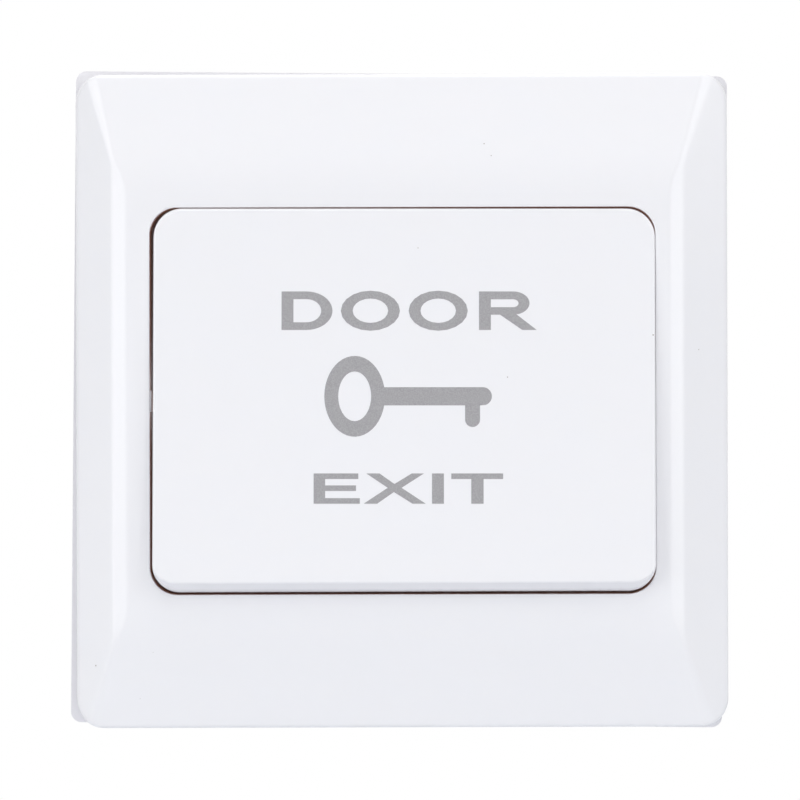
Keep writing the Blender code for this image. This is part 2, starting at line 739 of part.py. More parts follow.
def make_mechanism_housing():
    flange_top = hinge_z + ear_bore + ear_margin
    flange_bottom = mechanism_z - housing_height / 2 - flange_lower_overlap
    flange_width = housing_width + 2 * flange_overlap
    flange_outline = rounded_rectangle(flange_width, flange_top - flange_bottom, flange_corner_radius,
                                       (0.0, (flange_top + flange_bottom) / 2))
    housing = slab("mechanism_housing", flange_outline, "Y", flange_front, flange_back)
    body_outline = rounded_rectangle(housing_width, housing_height, housing_corner_radius, (0.0, mechanism_z))
    body = slab("housing_body", body_outline, "Y", flange_front + flange_thickness / 2, housing_back)
    add(housing, body)
    for side in (-1, 1):
        low, high = sorted((side * ear_inner, side * (ear_inner + ear_thickness)))
        ear = block("housing_ear", (low, high), (ear_front, flange_front + flange_thickness / 2),
                    (hinge_z - ear_bore - ear_margin, flange_top))
        add(housing, ear)

    # Contact chamber in the middle and an open terminal bay at each side
    inner_half = housing_height / 2 - housing_wall
    inner_range = (mechanism_z - inner_half, mechanism_z + inner_half)
    cut(housing, block("housing_chamber", (-chamber_width / 2, chamber_width / 2),
                       (floor_back, housing_back + mm), inner_range))
    cut(housing, block("housing_lid_seat", (-bay_inner, bay_inner), (terminal_back, housing_back + mm),
                       (mechanism_z - housing_height, mechanism_z + housing_height)))
    notch_half = terminal_height / 2 + seat_gap
    rest_inner = terminal_outer - terminal_thickness - terminal_rest_margin
    rest_back = terminal_front - terminal_leg - seat_gap
    for side in (-1, 1):
        low, high = sorted((side * bay_inner, side * bay_outer))
        cut(housing, block("housing_bay", (low, high), (flange_front + bay_floor, housing_back + mm),
                           inner_range))
        low, high = sorted((side * (chamber_width / 2 - mm), side * (bay_inner + mm)))
        cut(housing, block("housing_terminal_notch", (low, high), (terminal_front - seat_gap, housing_back),
                           (mechanism_z - notch_half, mechanism_z + notch_half)))
        notch_x = side * bay_middle
        cut(housing, block("housing_wire_notch",
                           (notch_x - wire_notch_width / 2, notch_x + wire_notch_width / 2),
                           (housing_back - wire_notch_depth, housing_back + mm),
                           (mechanism_z - housing_height / 2 - mm, mechanism_z - inner_half + mm / 2)))
        low, high = sorted((side * rest_inner, side * (bay_outer + housing_wall / 2)))
        rest = block("housing_terminal_rest", (low, high), (flange_front + bay_floor / 2, rest_back),
                     (mechanism_z - notch_half, mechanism_z + notch_half))
        spring_boss = rod("housing_spring_boss", spring_well_radius + spring_well_wall,
                          flange_front + flange_thickness / 2, well_seat + well_floor,
                          (side * bay_middle, spring_z))
        add(housing, rest, spring_boss)

    # Wells for the springs, the plunger's guide, the hinge bores and the screw holes
    cut(housing, rod("housing_well", well_radius, flange_front - mm, well_seat, (0.0, mechanism_z),
                     segments=round_segments))
    cut(housing, rod("housing_guide", plunger_radius + plunger_slack, flange_front - mm, floor_back + mm,
                     (0.0, mechanism_z)))
    for side in (-1, 1):
        cut(housing, rod("housing_spring_well", spring_well_radius, flange_front - mm, well_seat,
                         (side * bay_middle, spring_z)))
        low, high = sorted((side * (ear_inner - mm), side * (ear_inner + ear_thickness + mm)))
        cut(housing, rod("housing_hinge_bore", ear_bore, low, high, (hinge_y, hinge_z), "X"))
        cut(housing, block("housing_hinge_mouth", (low, high), (ear_front - mm, hinge_y),
                           (hinge_z - snap_mouth / 2, hinge_z + snap_mouth / 2)))
        cut(housing, rod("housing_screw_hole", module_screw_radius + screw_slack, flange_front - mm,
                         flange_back + mm, (side * module_screw_x, mechanism_z)))

    # Catches above and below that stand in the windows of the lid's legs
    catch_half = lid_window_width / 2 - seat_gap
    catch_reach = seat_gap + lid_leg_thickness
    for up in (-1, 1):
        face = mechanism_z + up * housing_height / 2
        low, high = sorted((face - up * housing_wall / 2, face + up * catch_reach))
        add(housing, block("housing_catch", (-catch_half, catch_half),
                           (lid_window_front + seat_gap, lid_window_front + lid_window_depth - seat_gap),
                           (low, high)))
    finish_part(housing, "mechanism_housing", inner_plastic)


def make_rear_lid():
    outline = rounded_rectangle(2 * lid_half_width, housing_height, lid_corner_radius, (0.0, mechanism_z))
    lid = slab("rear_lid", outline, "Y", lid_front, lid_back)
    leg_inner = housing_height / 2 + seat_gap
    across = (-lid_leg_width / 2, lid_leg_width / 2)
    window_across = (-lid_window_width / 2, lid_window_width / 2)
    for up in (-1, 1):
        low, high = sorted((mechanism_z + up * leg_inner, mechanism_z + up * (leg_inner + lid_leg_thickness)))
        leg = block("lid_leg", across, (lid_front - lid_leg_length, lid_back), (low, high))
        low, high = sorted((mechanism_z + up * (housing_height / 2 - lid_thickness),
                            mechanism_z + up * (leg_inner + lid_leg_thickness)))
        root = block("lid_leg_root", across, (lid_front, lid_back), (low, high))
        add(lid, leg, root)
        low, high = sorted((mechanism_z + up * (leg_inner - seat_gap / 2),
                            mechanism_z + up * (leg_inner + 2 * lid_leg_thickness)))
        cut(lid, block("lid_window", window_across, (lid_window_front, lid_window_front + lid_window_depth),
                       (low, high)))
    finish_part(lid, "rear_lid", lid_plastic)


def make_plunger():
    tip_front = bridge_back + seat_gap
    tip_back = tip_front + plunger_tip_thickness
    head_back = plunger_front + plunger_head_thickness
    profile = [
        (0.0, tip_back),
        (plunger_tip_radius - plunger_tip_thickness / 2, tip_back),
        (plunger_tip_radius, tip_front + plunger_tip_thickness / 2),
        (plunger_tip_radius, tip_front),
        (plunger_tail_radius, tip_front),
        (plunger_tail_radius, collar_back),
        (plunger_collar_radius, collar_back),
        (plunger_collar_radius, collar_front),
        (plunger_radius, collar_front),
        (plunger_radius, head_back),
        (plunger_head_radius, head_back),
        (plunger_head_radius, plunger_front + plunger_dome),
        (plunger_head_radius / 2, plunger_front + plunger_dome / 4),
        (0.0, plunger_front),
    ]
    plunger = turned("plunger", profile, (0.0, mechanism_z), plunger_guide)
    finish_part(plunger, "plunger", inner_plastic)


def make_contact_bridge():
    width = 2 * (contact_x + contact_radius + bridge_end_margin)
    outline = rounded_rectangle(width, bridge_height, bridge_corner_radius, (0.0, mechanism_z))
    bridge = slab("contact_bridge", outline, "Y", bridge_front, bridge_back, plunger_guide)
    cut(bridge, rod("bridge_bore", plunger_tail_radius + seat_gap, bridge_front - mm, bridge_back + mm,
                    (0.0, mechanism_z), pivot=plunger_guide))
    for side in (-1, 1):
        cut(bridge, rod("bridge_contact_hole", contact_shank_radius + seat_gap, bridge_front - mm,
                        bridge_back + mm, (side * contact_x, mechanism_z), pivot=plunger_guide))
    finish_part(bridge, "contact_bridge", brass)


def make_moving_contact(name, side):
    # A rivet through the bridge, with its contact face to the back.
    rear = bridge_back + seat_gap
    clinch = bridge_front - seat_gap
    profile = [
        (0.0, moving_tip_back),
        (contact_radius - 2 * contact_crown, moving_tip_back),
        (contact_radius, moving_tip_back - contact_crown),
        (contact_radius, rear),
        (contact_shank_radius, rear),
        (contact_shank_radius, clinch),
        (contact_clinch_radius, clinch),
        (contact_clinch_radius, clinch - contact_thickness / 2),
        (0.0, clinch - contact_thickness / 2),
    ]
    contact = turned(name, profile, (side * contact_x, mechanism_z), plunger_guide)
    finish_part(contact, name, silver)


def make_fixed_contact(name, side):
    # A rivet staked flush in the terminal, with its contact face to the front.
    seat = fixed_tip_front + contact_thickness
    profile = [
        (0.0, terminal_back),
        (contact_shank_radius, terminal_back),
        (contact_shank_radius, seat),
        (contact_radius, seat),
        (contact_radius, fixed_tip_front + contact_crown),
        (contact_radius - 2 * contact_crown, fixed_tip_front),
        (0.0, fixed_tip_front),
    ]
    contact = turned(name, profile, (side * contact_x, mechanism_z))
    finish_part(contact, name, silver)


def make_terminal(name, side):
    # A strip from the contact to the screw, its outer end bent forwards.
    inner = contact_x - terminal_inner_margin
    bend = terminal_outer - terminal_thickness
    leg_front = terminal_front - terminal_leg
    outline = [
        (side * inner, terminal_back),
        (side * inner, terminal_front),
        (side * bend, terminal_front),
        (side * bend, leg_front),
        (side * terminal_outer, leg_front),
        (side * terminal_outer, terminal_back),
    ]
    low = mechanism_z - terminal_height / 2
    terminal = slab(name, outline, "Z", low, low + terminal_height)
    screw_x = side * bay_middle
    add(terminal, rod("terminal_collar", terminal_collar_radius, terminal_front - terminal_collar_depth,
                      terminal_front + terminal_thickness / 2, (screw_x, mechanism_z)))
    cut(terminal, rod("terminal_screw_hole", terminal_screw_radius + screw_slack, leg_front - mm,
                      terminal_back + mm, (screw_x, mechanism_z)))
    cut(terminal, rod("terminal_contact_hole", contact_shank_radius + seat_gap, leg_front - mm,
                      terminal_back + mm, (side * contact_x, mechanism_z)))
    finish_part(terminal, name, brass)


def make_wire_clamp(name, side):
    # A square washer whose edges fold over the sides of the terminal.
    inner = terminal_height / 2 + seat_gap
    outer = inner + clamp_lip
    outline = [
        (clamp_back, mechanism_z - outer),
        (clamp_back, mechanism_z + outer),
        (terminal_front, mechanism_z + outer),
        (terminal_front, mechanism_z + inner),
        (clamp_front, mechanism_z + inner),
        (clamp_front, mechanism_z - inner),
        (terminal_front, mechanism_z - inner),
        (terminal_front, mechanism_z - outer),
    ]
    middle = side * bay_middle
    clamp = slab(name, outline, "X", middle - clamp_width / 2, middle + clamp_width / 2)
    cut(clamp, rod("clamp_hole", terminal_screw_radius + screw_slack, clamp_front - mm, clamp_back + mm,
                   (middle, mechanism_z)))
    finish_part(clamp, name, steel)


def make_terminal_screw(name, side):
    centre = (side * bay_middle, mechanism_z)
    tip = screw_head_front - terminal_screw_length
    chamfer = terminal_screw_chamfer
    profile = [
        (0.0, screw_head_back),
        (terminal_screw_head_radius - chamfer, screw_head_back),
        (terminal_screw_head_radius, screw_head_back - chamfer),
        (terminal_screw_head_radius, screw_head_front),
        (terminal_screw_radius, screw_head_front),
        (terminal_screw_radius, tip + chamfer),
        (terminal_screw_radius - chamfer, tip),
        (0.0, tip),
    ]
    screw = turned(name, profile, centre)
    cut(screw, *cross_recess(name, terminal_screw_head_radius, centre, screw_head_back))
    finish_part(screw, name, steel)


def make_module_screw(name, side):
    centre = (side * module_screw_x, mechanism_z)
    head_back = flange_front - seat_gap
    head_front = head_back - module_screw_head_height
    tip = head_back + module_screw_length
    chamfer = module_screw_chamfer
    profile = [
        (0.0, tip),
        (module_screw_radius - 2 * chamfer, tip),
        (module_screw_radius, tip - 2 * chamfer),
        (module_screw_radius, head_back),
        (module_screw_head_radius, head_back),
        (module_screw_head_radius, head_front + chamfer),
        (module_screw_head_radius - chamfer, head_front),
        (0.0, head_front),
    ]
    screw = turned(name, profile, centre)
    cut(screw, *cross_recess(name, module_screw_head_radius, centre, head_front))
    finish_part(screw, name, steel)


def make_springs():
    coil("contact_spring", contact_spring_radius, contact_spring_wire, contact_spring_turns,
         collar_back + seat_gap / 2, bridge_front - seat_gap / 2, (0.0, mechanism_z), spring_steel,
         plunger_guide)
    coil("plunger_spring", plunger_spring_radius, plunger_spring_wire, plunger_spring_turns,
         plunger_front + plunger_head_thickness + seat_gap, well_seat - seat_gap,
         (0.0, mechanism_z), spring_steel)
    front = carrier_back - spring_lever * math.tan(press_angle) + seat_gap
    for name, side in (("button_spring_left", -1), ("button_spring_right", 1)):
        coil(name, button_spring_radius, button_spring_wire, button_spring_turns, front, well_seat - seat_gap,
             (side * bay_middle, spring_z), spring_steel)


clear_scene()
parts = new_collection("Exit push button")
tools = new_collection("Construction shapes")

white_abs = new_material("White ABS", (0.86, 0.87, 0.90), 0.32)
plate_abs = new_material("Wall plate ABS", (0.78, 0.79, 0.81), 0.4)
inner_plastic = new_material("White nylon", (0.80, 0.79, 0.76), 0.45)
lid_plastic = new_material("Black phenolic", (0.03, 0.03, 0.03), 0.5)
brass = new_material("Brass", (0.72, 0.52, 0.22), 0.3, 1.0)
silver = new_material("Silver", (0.85, 0.84, 0.80), 0.25, 1.0)
steel = new_material("Zinc plated steel", (0.70, 0.71, 0.73), 0.3, 1.0)
spring_steel = new_material("Spring steel", (0.55, 0.55, 0.56), 0.3, 1.0)

cover_seat = new_pivot("cover_seat", (0.0, 0.0, 0.0), (0.0, cover_turn, 0.0))
plate_offset = new_pivot("plate_offset", plate_shift)
plate_seat = new_pivot("plate_seat", (0.0, 0.0, 0.0), (0.0, plate_turn, 0.0), plate_offset)
button_pivot = new_pivot("button_pivot", (0.0, hinge_y, hinge_z), (-press_angle, 0.0, 0.0))
plunger_guide = new_pivot("plunger_guide", (0.0, plunger_front, mechanism_z))

make_front_cover()
make_wall_plate()
make_button_cap()
make_rocker_carrier()
make_mechanism_housing()
make_rear_lid()
make_plunger()
make_contact_bridge()
make_moving_contact("bridge_contact_left", -1)
make_moving_contact("bridge_contact_right", 1)
make_fixed_contact("com_contact", -1)
make_fixed_contact("no_contact", 1)
make_terminal("com_terminal", -1)
make_terminal("no_terminal", 1)
make_wire_clamp("com_wire_clamp", -1)
make_wire_clamp("no_wire_clamp", 1)
make_terminal_screw("com_terminal_screw", -1)
make_terminal_screw("no_terminal_screw", 1)
make_module_screw("housing_screw_left", -1)
make_module_screw("housing_screw_right", 1)
make_springs()
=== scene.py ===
# Exit push button on its wall plate: finishes, fine mouldings, print, threads, springs and the studio.
import json
import math

import bmesh
import bpy
from mathutils import Matrix, Vector


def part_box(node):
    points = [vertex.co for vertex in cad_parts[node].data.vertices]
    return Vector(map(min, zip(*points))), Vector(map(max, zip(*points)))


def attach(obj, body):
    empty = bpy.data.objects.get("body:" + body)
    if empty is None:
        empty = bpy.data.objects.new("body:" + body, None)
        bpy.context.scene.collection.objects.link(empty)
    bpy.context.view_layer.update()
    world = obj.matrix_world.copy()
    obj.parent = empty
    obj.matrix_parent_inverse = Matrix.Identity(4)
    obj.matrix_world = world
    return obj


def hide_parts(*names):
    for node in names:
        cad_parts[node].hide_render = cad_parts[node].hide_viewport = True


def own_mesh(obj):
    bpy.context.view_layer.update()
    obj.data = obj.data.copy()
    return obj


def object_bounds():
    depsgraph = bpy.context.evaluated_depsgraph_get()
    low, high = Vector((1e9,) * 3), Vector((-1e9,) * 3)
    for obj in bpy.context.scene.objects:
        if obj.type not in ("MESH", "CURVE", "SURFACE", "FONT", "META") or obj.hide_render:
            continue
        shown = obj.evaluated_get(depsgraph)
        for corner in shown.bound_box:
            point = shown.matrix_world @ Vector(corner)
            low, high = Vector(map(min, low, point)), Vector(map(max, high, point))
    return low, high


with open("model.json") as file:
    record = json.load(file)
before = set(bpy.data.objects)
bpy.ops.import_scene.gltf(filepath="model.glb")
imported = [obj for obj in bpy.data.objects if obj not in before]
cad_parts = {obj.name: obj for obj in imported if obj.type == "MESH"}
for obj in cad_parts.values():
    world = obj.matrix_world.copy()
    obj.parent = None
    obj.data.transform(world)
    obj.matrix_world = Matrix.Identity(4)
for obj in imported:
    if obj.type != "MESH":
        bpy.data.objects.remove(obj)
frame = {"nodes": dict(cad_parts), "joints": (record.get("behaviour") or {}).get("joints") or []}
cadLow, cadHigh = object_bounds()

mm = 0.001
hinge = next(joint for joint in frame["joints"] if joint["name"] == "button_hinge")
slide = next(joint for joint in frame["joints"] if joint["name"] == "plunger_slide")
hingePlace = Vector(hinge["pos_m"])
pressAngle = math.radians(hinge["range_deg"][1])
coverFront = -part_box("front_cover")[0].y      # distance of the cover's front from the wall
coverBack = -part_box("front_cover")[1].y
print("frame loaded:", len(frame["nodes"]), "nodes")


# Shader tools

class Wire:                                   # an output socket that takes part in sums
    def __init__(self, paint, socket):
        self.paint = paint
        self.socket = socket

    def maths(self, operation, first, second):
        return self.paint.node("ShaderNodeMath", {"operation": operation}, {0: first, 1: second})

    def __add__(self, other):
        return self.maths("ADD", self, other)

    def __radd__(self, other):
        return self.maths("ADD", other, self)

    def __mul__(self, other):
        return self.maths("MULTIPLY", self, other)

    def __rmul__(self, other):
        return self.maths("MULTIPLY", other, self)

    def __lt__(self, other):
        return self.maths("LESS_THAN", self, other)

    def __gt__(self, other):
        return self.maths("GREATER_THAN", self, other)

    def size(self):                           # without its sign
        return self.maths("ABSOLUTE", self, 0.0)


class Paint:                                  # one material, built node by node
    def __init__(self, name):
        self.material = bpy.data.materials.new(name)
        self.material.use_nodes = True
        self.tree = self.material.node_tree
        self.tree.nodes.clear()
        self.coordinates = self.node("ShaderNodeTexCoord", output="Object")

    def node(self, kind, settings=None, inputs=None, output=0):
        made = self.tree.nodes.new(kind)
        for key, value in (settings or {}).items():
            if key == "stops":
                self.setStops(made.color_ramp, value)
            else:
                setattr(made, key, value)
        for key, value in (inputs or {}).items():
            if isinstance(value, Wire):
                self.tree.links.new(value.socket, made.inputs[key])
            else:
                made.inputs[key].default_value = value
        return Wire(self, made.outputs[output]) if len(made.outputs) else made

    def setStops(self, ramp, stops):
        while len(ramp.elements) < len(stops):
            ramp.elements.new(0.5)
        for element, (place, colour) in zip(ramp.elements, stops):
            element.position = place
            element.color = colour

    def place(self, axis):
        return self.node("ShaderNodeSeparateXYZ", None, {0: self.coordinates}, output="xyz".index(axis))

    def noise(self, size, detail, stretch=(1.0, 1.0, 1.0), rough=0.55):
        scaled = self.node("ShaderNodeMapping", None, {"Vector": self.coordinates, "Scale": stretch})
        return self.node("ShaderNodeTexNoise", {"noise_dimensions": "3D"},
                         {"Vector": scaled, "Scale": 1.0 / size, "Detail": detail, "Roughness": rough})

    def ramp(self, factor, stops):
        return self.node("ShaderNodeValToRGB", {"stops": stops}, {"Fac": factor})

    def mixColour(self, factor, first, second):
        # Sockets 6 and 7 of a Mix node take its two colours, and output 2 gives the mixed one
        settings = {"data_type": "RGBA", "blend_type": "MIX"}
        return self.node("ShaderNodeMix", settings, {0: factor, 6: first, 7: second}, output=2)

    def bump(self, height, strength, distance):
        return self.node("ShaderNodeBump", None,
                         {"Height": height, "Strength": strength, "Distance": distance})

    def finish(self, inputs):
        shader = self.node("ShaderNodeBsdfPrincipled", None, inputs)
        self.node("ShaderNodeOutputMaterial", None, {"Surface": shader})
        return self.material


def rgb(red, green, blue):
    return (red, green, blue, 1.0)


black = rgb(0.0, 0.0, 0.0)
white = rgb(1.0, 1.0, 1.0)


# Glossy white plastic of the cover and the button, with faint clouds and sideways flow marks, and a painted
# warm glow on the walls of the gap

mouldedValues = {
    "tint": rgb(0.862, 0.862, 0.894),
    "tintWarm": rgb(0.880, 0.869, 0.882),
    "mottle": (0.55, 0.45),           # shares of the clouds and of the flow marks
    "cloudSize": 7.0 * mm,
    "streakSize": 1.6 * mm,
    "streakStretch": (0.35, 1.0, 1.0),
    "grainSize": 0.22 * mm,
    "grainHeight": 0.0009 * mm,
    "grainStrength": 0.35,
    "roughness": 0.17,
    "roughnessSpread": 0.03,
    "ior": 1.5,
    "paintedGlow": rgb(0.034, 0.012, 0.006),     # painted warm glow on the walls of the gap: an emission that stands in for light coming through the plastic
    "gapHalfWidth": 33.4 * mm,
    "gapHalfHeight": 25.6 * mm,
    "gapDepths": (0.4 * mm, 1.4 * mm),    # behind the cover's front, from none of the painted glow to all of it
    "gapRoughness": 0.45,             # added on the same walls
}


def mouldedWhite(v=mouldedValues):
    paint = Paint("coverAbs")
    clouds = paint.noise(v["cloudSize"], detail=4.0)
    streaks = paint.noise(v["streakSize"], detail=3.0, stretch=v["streakStretch"])
    grain = paint.noise(v["grainSize"], detail=2.0)
    cloudShare, streakShare = v["mottle"]
    colour = paint.mixColour(clouds * cloudShare + streaks * streakShare, v["tint"], v["tintWarm"])
    relief = paint.bump(grain * 0.5 + streaks * 0.5, v["grainStrength"], v["grainHeight"])

    # The walls of the gap round the button, which get a painted warm glow (emission) and added roughness
    shallow, deep = (depth - coverFront for depth in v["gapDepths"])
    depth = paint.node("ShaderNodeMapRange", None, {0: paint.place("y"), 1: shallow, 2: deep})
    beside = (paint.place("x").size() < v["gapHalfWidth"]) * (paint.place("z").size() < v["gapHalfHeight"])
    inGap = depth * beside
    # Painted glow: the gap's walls emit a warm light of their own, though no lamp is there
    paintedGlow = paint.mixColour(inGap, black, v["paintedGlow"])
    spread = v["roughnessSpread"]
    roughness = v["roughness"] + clouds * spread + grain * spread + inGap * v["gapRoughness"]
    return paint.finish({"Base Color": colour, "Roughness": roughness, "Normal": relief, "IOR": v["ior"],
                         "Emission Color": paintedGlow, "Emission Strength": 1.0})


# Duller white plastic of the wall plate

plateValues = {
    "tint": rgb(0.81, 0.80, 0.835),
    "tintPale": rgb(0.85, 0.84, 0.865),
    "cloudSize": 7.0 * mm,
    "grainSize": 0.25 * mm,
    "grainHeight": 0.01 * mm,
    "grainStrength": 0.5,
    "roughness": 0.40,
    "roughnessSpread": 0.10,
}


def plateWhite(v=plateValues):
    paint = Paint("wallPlateAbs")
    clouds = paint.noise(v["cloudSize"], detail=4.0)
    grain = paint.noise(v["grainSize"], detail=2.0)
    colour = paint.mixColour(clouds, v["tint"], v["tintPale"])
    roughness = v["roughness"] + grain * v["roughnessSpread"]
    relief = paint.bump(grain, v["grainStrength"], v["grainHeight"])
    return paint.finish({"Base Color": colour, "Roughness": roughness, "Normal": relief})


# Natural nylon of the housing, the carrier and the plunger

nylonValues = {
    "tint": rgb(0.74, 0.73, 0.68),
    "tintPale": rgb(0.82, 0.81, 0.77),
    "cloudSize": 4.0 * mm,
    "flowSize": 1.5 * mm,
    "flowStretch": (1.0, 0.3, 1.0),
    "flowHeight": 0.02 * mm,
    "flowStrength": 0.4,
    "roughness": 0.38,
    "roughnessSpread": 0.16,
}


def nylonWhite(v=nylonValues):
    paint = Paint("naturalNylon")
    clouds = paint.noise(v["cloudSize"], detail=4.0)
    flow = paint.noise(v["flowSize"], detail=3.0, stretch=v["flowStretch"])
    colour = paint.mixColour(clouds * 0.5 + flow * 0.5, v["tint"], v["tintPale"])
    roughness = v["roughness"] + flow * v["roughnessSpread"]
    relief = paint.bump(flow, v["flowStrength"], v["flowHeight"])
    return paint.finish({"Base Color": colour, "Roughness": roughness, "Normal": relief})


# Black phenolic of the rear lid

phenolicValues = {
    "stops": [(0.35, rgb(0.012, 0.012, 0.013)), (0.75, rgb(0.045, 0.043, 0.042))],
    "fleckSize": 0.35 * mm,
    "fleckHeight": 0.02 * mm,
    "fleckStrength": 0.5,
    "cloudSize": 3.0 * mm,
    "roughness": 0.38,
    "roughnessSpread": 0.22,
}


def phenolicBlack(v=phenolicValues):
    paint = Paint("blackPhenolic")
    flecks = paint.noise(v["fleckSize"], detail=2.0)
    clouds = paint.noise(v["cloudSize"], detail=3.0)
    colour = paint.ramp(flecks, v["stops"])
    roughness = v["roughness"] + clouds * v["roughnessSpread"]
    relief = paint.bump(flecks, v["fleckStrength"], v["fleckHeight"])
    return paint.finish({"Base Color": colour, "Roughness": roughness, "Normal": relief})


# Metals: dull patches over a bright surface, and fine marks along the brushing

metalValues = {                       # bright and dull tint, roughness, stretch of the marks, patch size
    "stampedBrass": (rgb(0.83, 0.62, 0.28), rgb(0.62, 0.43, 0.19), 0.22, (1.0, 1.0, 0.12), 2.5 * mm),
    "silverContact": (rgb(0.90, 0.89, 0.86), rgb(0.68, 0.65, 0.60), 0.20, (1.0, 1.0, 1.0), 2.5 * mm),
    "zincPlate": (rgb(0.78, 0.80, 0.83), rgb(0.60, 0.62, 0.66), 0.24, (1.0, 1.0, 1.0), 1.2 * mm),
    "springWire": (rgb(0.60, 0.60, 0.61), rgb(0.38, 0.37, 0.37), 0.24, (0.2, 1.0, 1.0), 1.0 * mm),
}
metalMarks = {
    "patchStops": [(0.35, black), (0.7, white)],
    "patchRoughness": 0.16,
    "markSize": 0.16 * mm,
    "markHeight": 0.008 * mm,
    "markStrength": 0.5,
    "markRoughness": 0.10,
}


def metal(name, v=metalMarks):
    bright, dull, plainRoughness, stretch, patchSize = metalValues[name]
    paint = Paint(name)
    patches = paint.noise(patchSize, detail=5.0)
    marks = paint.noise(v["markSize"], detail=3.0, stretch=stretch)
    colour = paint.mixColour(paint.ramp(patches, v["patchStops"]), bright, dull)
    roughness = plainRoughness + patches * v["patchRoughness"] + marks * v["markRoughness"]
    relief = paint.bump(marks, v["markStrength"], v["markHeight"])
    return paint.finish({"Base Color": colour, "Metallic": 1.0, "Roughness": roughness, "Normal": relief})


# Grey ink of the print, and the dust

inkValues = {
    "stops": [(0.38, rgb(0.315, 0.308, 0.319)), (0.62, rgb(0.402, 0.393, 0.404))],
    "mottle": (0.7, 0.3),             # shares of the flecks and of the screen's marks
    "fleckSize": 0.16 * mm,
    "screenSize": 0.05 * mm,
    "fleckHeight": 0.005 * mm,
    "fleckStrength": 0.4,
    "roughness": 0.42,
    "roughnessSpread": 0.12,
}
dustValues = {
    "stops": [(0.3, rgb(0.26, 0.22, 0.19)), (0.7, rgb(0.46, 0.42, 0.39))],
    "clumpSize": 0.05 * mm,
    "roughness": 0.8,
    "roughnessSpread": 0.1,
}


def printInk(v=inkValues):
    paint = Paint("printedGrey")
    flecks = paint.noise(v["fleckSize"], detail=2.0)
    screen = paint.noise(v["screenSize"], detail=1.0)
    fleckShare, screenShare = v["mottle"]
    colour = paint.ramp(flecks * fleckShare + screen * screenShare, v["stops"])
    roughness = v["roughness"] + flecks * v["roughnessSpread"]
    relief = paint.bump(flecks, v["fleckStrength"], v["fleckHeight"])
    return paint.finish({"Base Color": colour, "Roughness": roughness, "Normal": relief})


def dust(v=dustValues):
    paint = Paint("dustSpeck")
    clumps = paint.noise(v["clumpSize"], detail=2.0)
    roughness = v["roughness"] + clumps * v["roughnessSpread"]
    return paint.finish({"Base Color": paint.ramp(clumps, v["stops"]), "Roughness": roughness})


whiteAbs = mouldedWhite()
plateAbs = plateWhite()
nylon = nylonWhite()
phenolic = phenolicBlack()
brass = metal("stampedBrass")
silver = metal("silverContact")
zinc = metal("zincPlate")
springWire = metal("springWire")
ink = printInk()
speck = dust()
print("materials made:", len(bpy.data.materials))


# Mesh tools

def placed(name, data):
    made = bpy.data.objects.new(name, data)
    bpy.context.scene.collection.objects.link(made)
    return made


def closedMesh(name, points, faces):
    mesh = bpy.data.meshes.new(name)
    mesh.from_pydata([tuple(point) for point in points], [], faces)
    mesh.validate()
    work = bmesh.new()
    work.from_mesh(mesh)
    bmesh.ops.recalc_face_normals(work, faces=work.faces)
    work.to_mesh(mesh)
    work.free()
    return mesh


def meshPiece(name, points, faces, material, body, smooth=True):
    mesh = closedMesh(name, points, faces)
    mesh.materials.append(material)
    if smooth:
        mesh.shade_smooth()
    piece = placed(name, mesh)
    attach(piece, body)
    return piece


def resultMesh(item):
    # The mesh of a curve, or of a piece with its modifiers
    bpy.context.view_layer.update()
    return bpy.data.meshes.new_from_object(item.evaluated_get(bpy.context.evaluated_depsgraph_get()))


def ringFaces(rings, count, closed=False):
    # Quads between neighbouring rings of count points each
    faces = []
    for ring in range(rings if closed else rings - 1):
        here = ring * count
        after = (ring + 1) % rings * count
        for index in range(count):
            side = (index + 1) % count
            faces.append((here + index, here + side, after + side, after + index))
    return faces


def endFaces(rings, count):
    return [tuple(range(count)), tuple(range((rings - 1) * count, rings * count))]


def addBlock(points, faces, acrossX, acrossY, acrossZ):
    first = len(points)
    for x in acrossX:
        for y in acrossY:
            for z in acrossZ:
                points.append(Vector((x, y, z)))
    for face in ((0, 1, 3, 2), (4, 6, 7, 5), (0, 4, 5, 1), (2, 3, 7, 6), (0, 2, 6, 4), (1, 5, 7, 3)):
        faces.append(tuple(first + corner for corner in face))


def roundedOutline(width, height, radii, straightSteps, cornerSteps):
    # Points of a rounded rectangle with their outward directions, anticlockwise from its right side;
    # radii holds the radius of the upper corners and that of the lower ones
    corners = ((1, 1), (-1, 1), (-1, -1), (1, -1))
    rounds = []
    for side, up in corners:
        radius = radii[0] if up > 0 else radii[1]
        centre = Vector((side * (width / 2 - radius), up * (height / 2 - radius)))
        rounds.append((centre, radius))
    points = []
    outward = []
    for quarter, (centre, radius) in enumerate(rounds):
        for step in range(cornerSteps + 1):
            angle = (quarter + step / cornerSteps) * math.pi / 2
            direction = Vector((math.cos(angle), math.sin(angle)))
            points.append(centre + radius * direction)
            outward.append(direction)
        nextCentre, nextRadius = rounds[(quarter + 1) % len(rounds)]
        start = points[-1].copy()
        end = nextCentre + nextRadius * outward[-1]
        for step in range(1, straightSteps):
            points.append(start.lerp(end, step / straightSteps))
            outward.append(outward[-1])
    return points, outward


def quarterRound(radius, steps):
    # Inset and drop along a rounded edge, from the flat face to the side
    angles = [step / steps * math.pi / 2 for step in range(steps + 1)]
    return [(radius * (1 - math.sin(angle)), radius * (1 - math.cos(angle))) for angle in angles]


def softMin(first, second, blend):
    overlap = max(blend - abs(first - second), 0.0) / blend
    return min(first, second) - overlap * overlap * blend / 4


def turnAboutY(points, angle):
    turn = Matrix.Rotation(angle, 3, "Y")
    return [turn @ Vector(point) for point in points]


def pressedToRest(points):
    # The button is drawn pressed flush and turned back to its rest about the hinge
    turn = Matrix.Rotation(-pressAngle, 4, "X")
    swing = Matrix.Translation(hingePlace) @ turn @ Matrix.Translation(-hingePlace)
    return [swing @ Vector(point) for point in points]


# Front cover: sloped sides with a shallow band, and a front that falls to the top and bottom edges

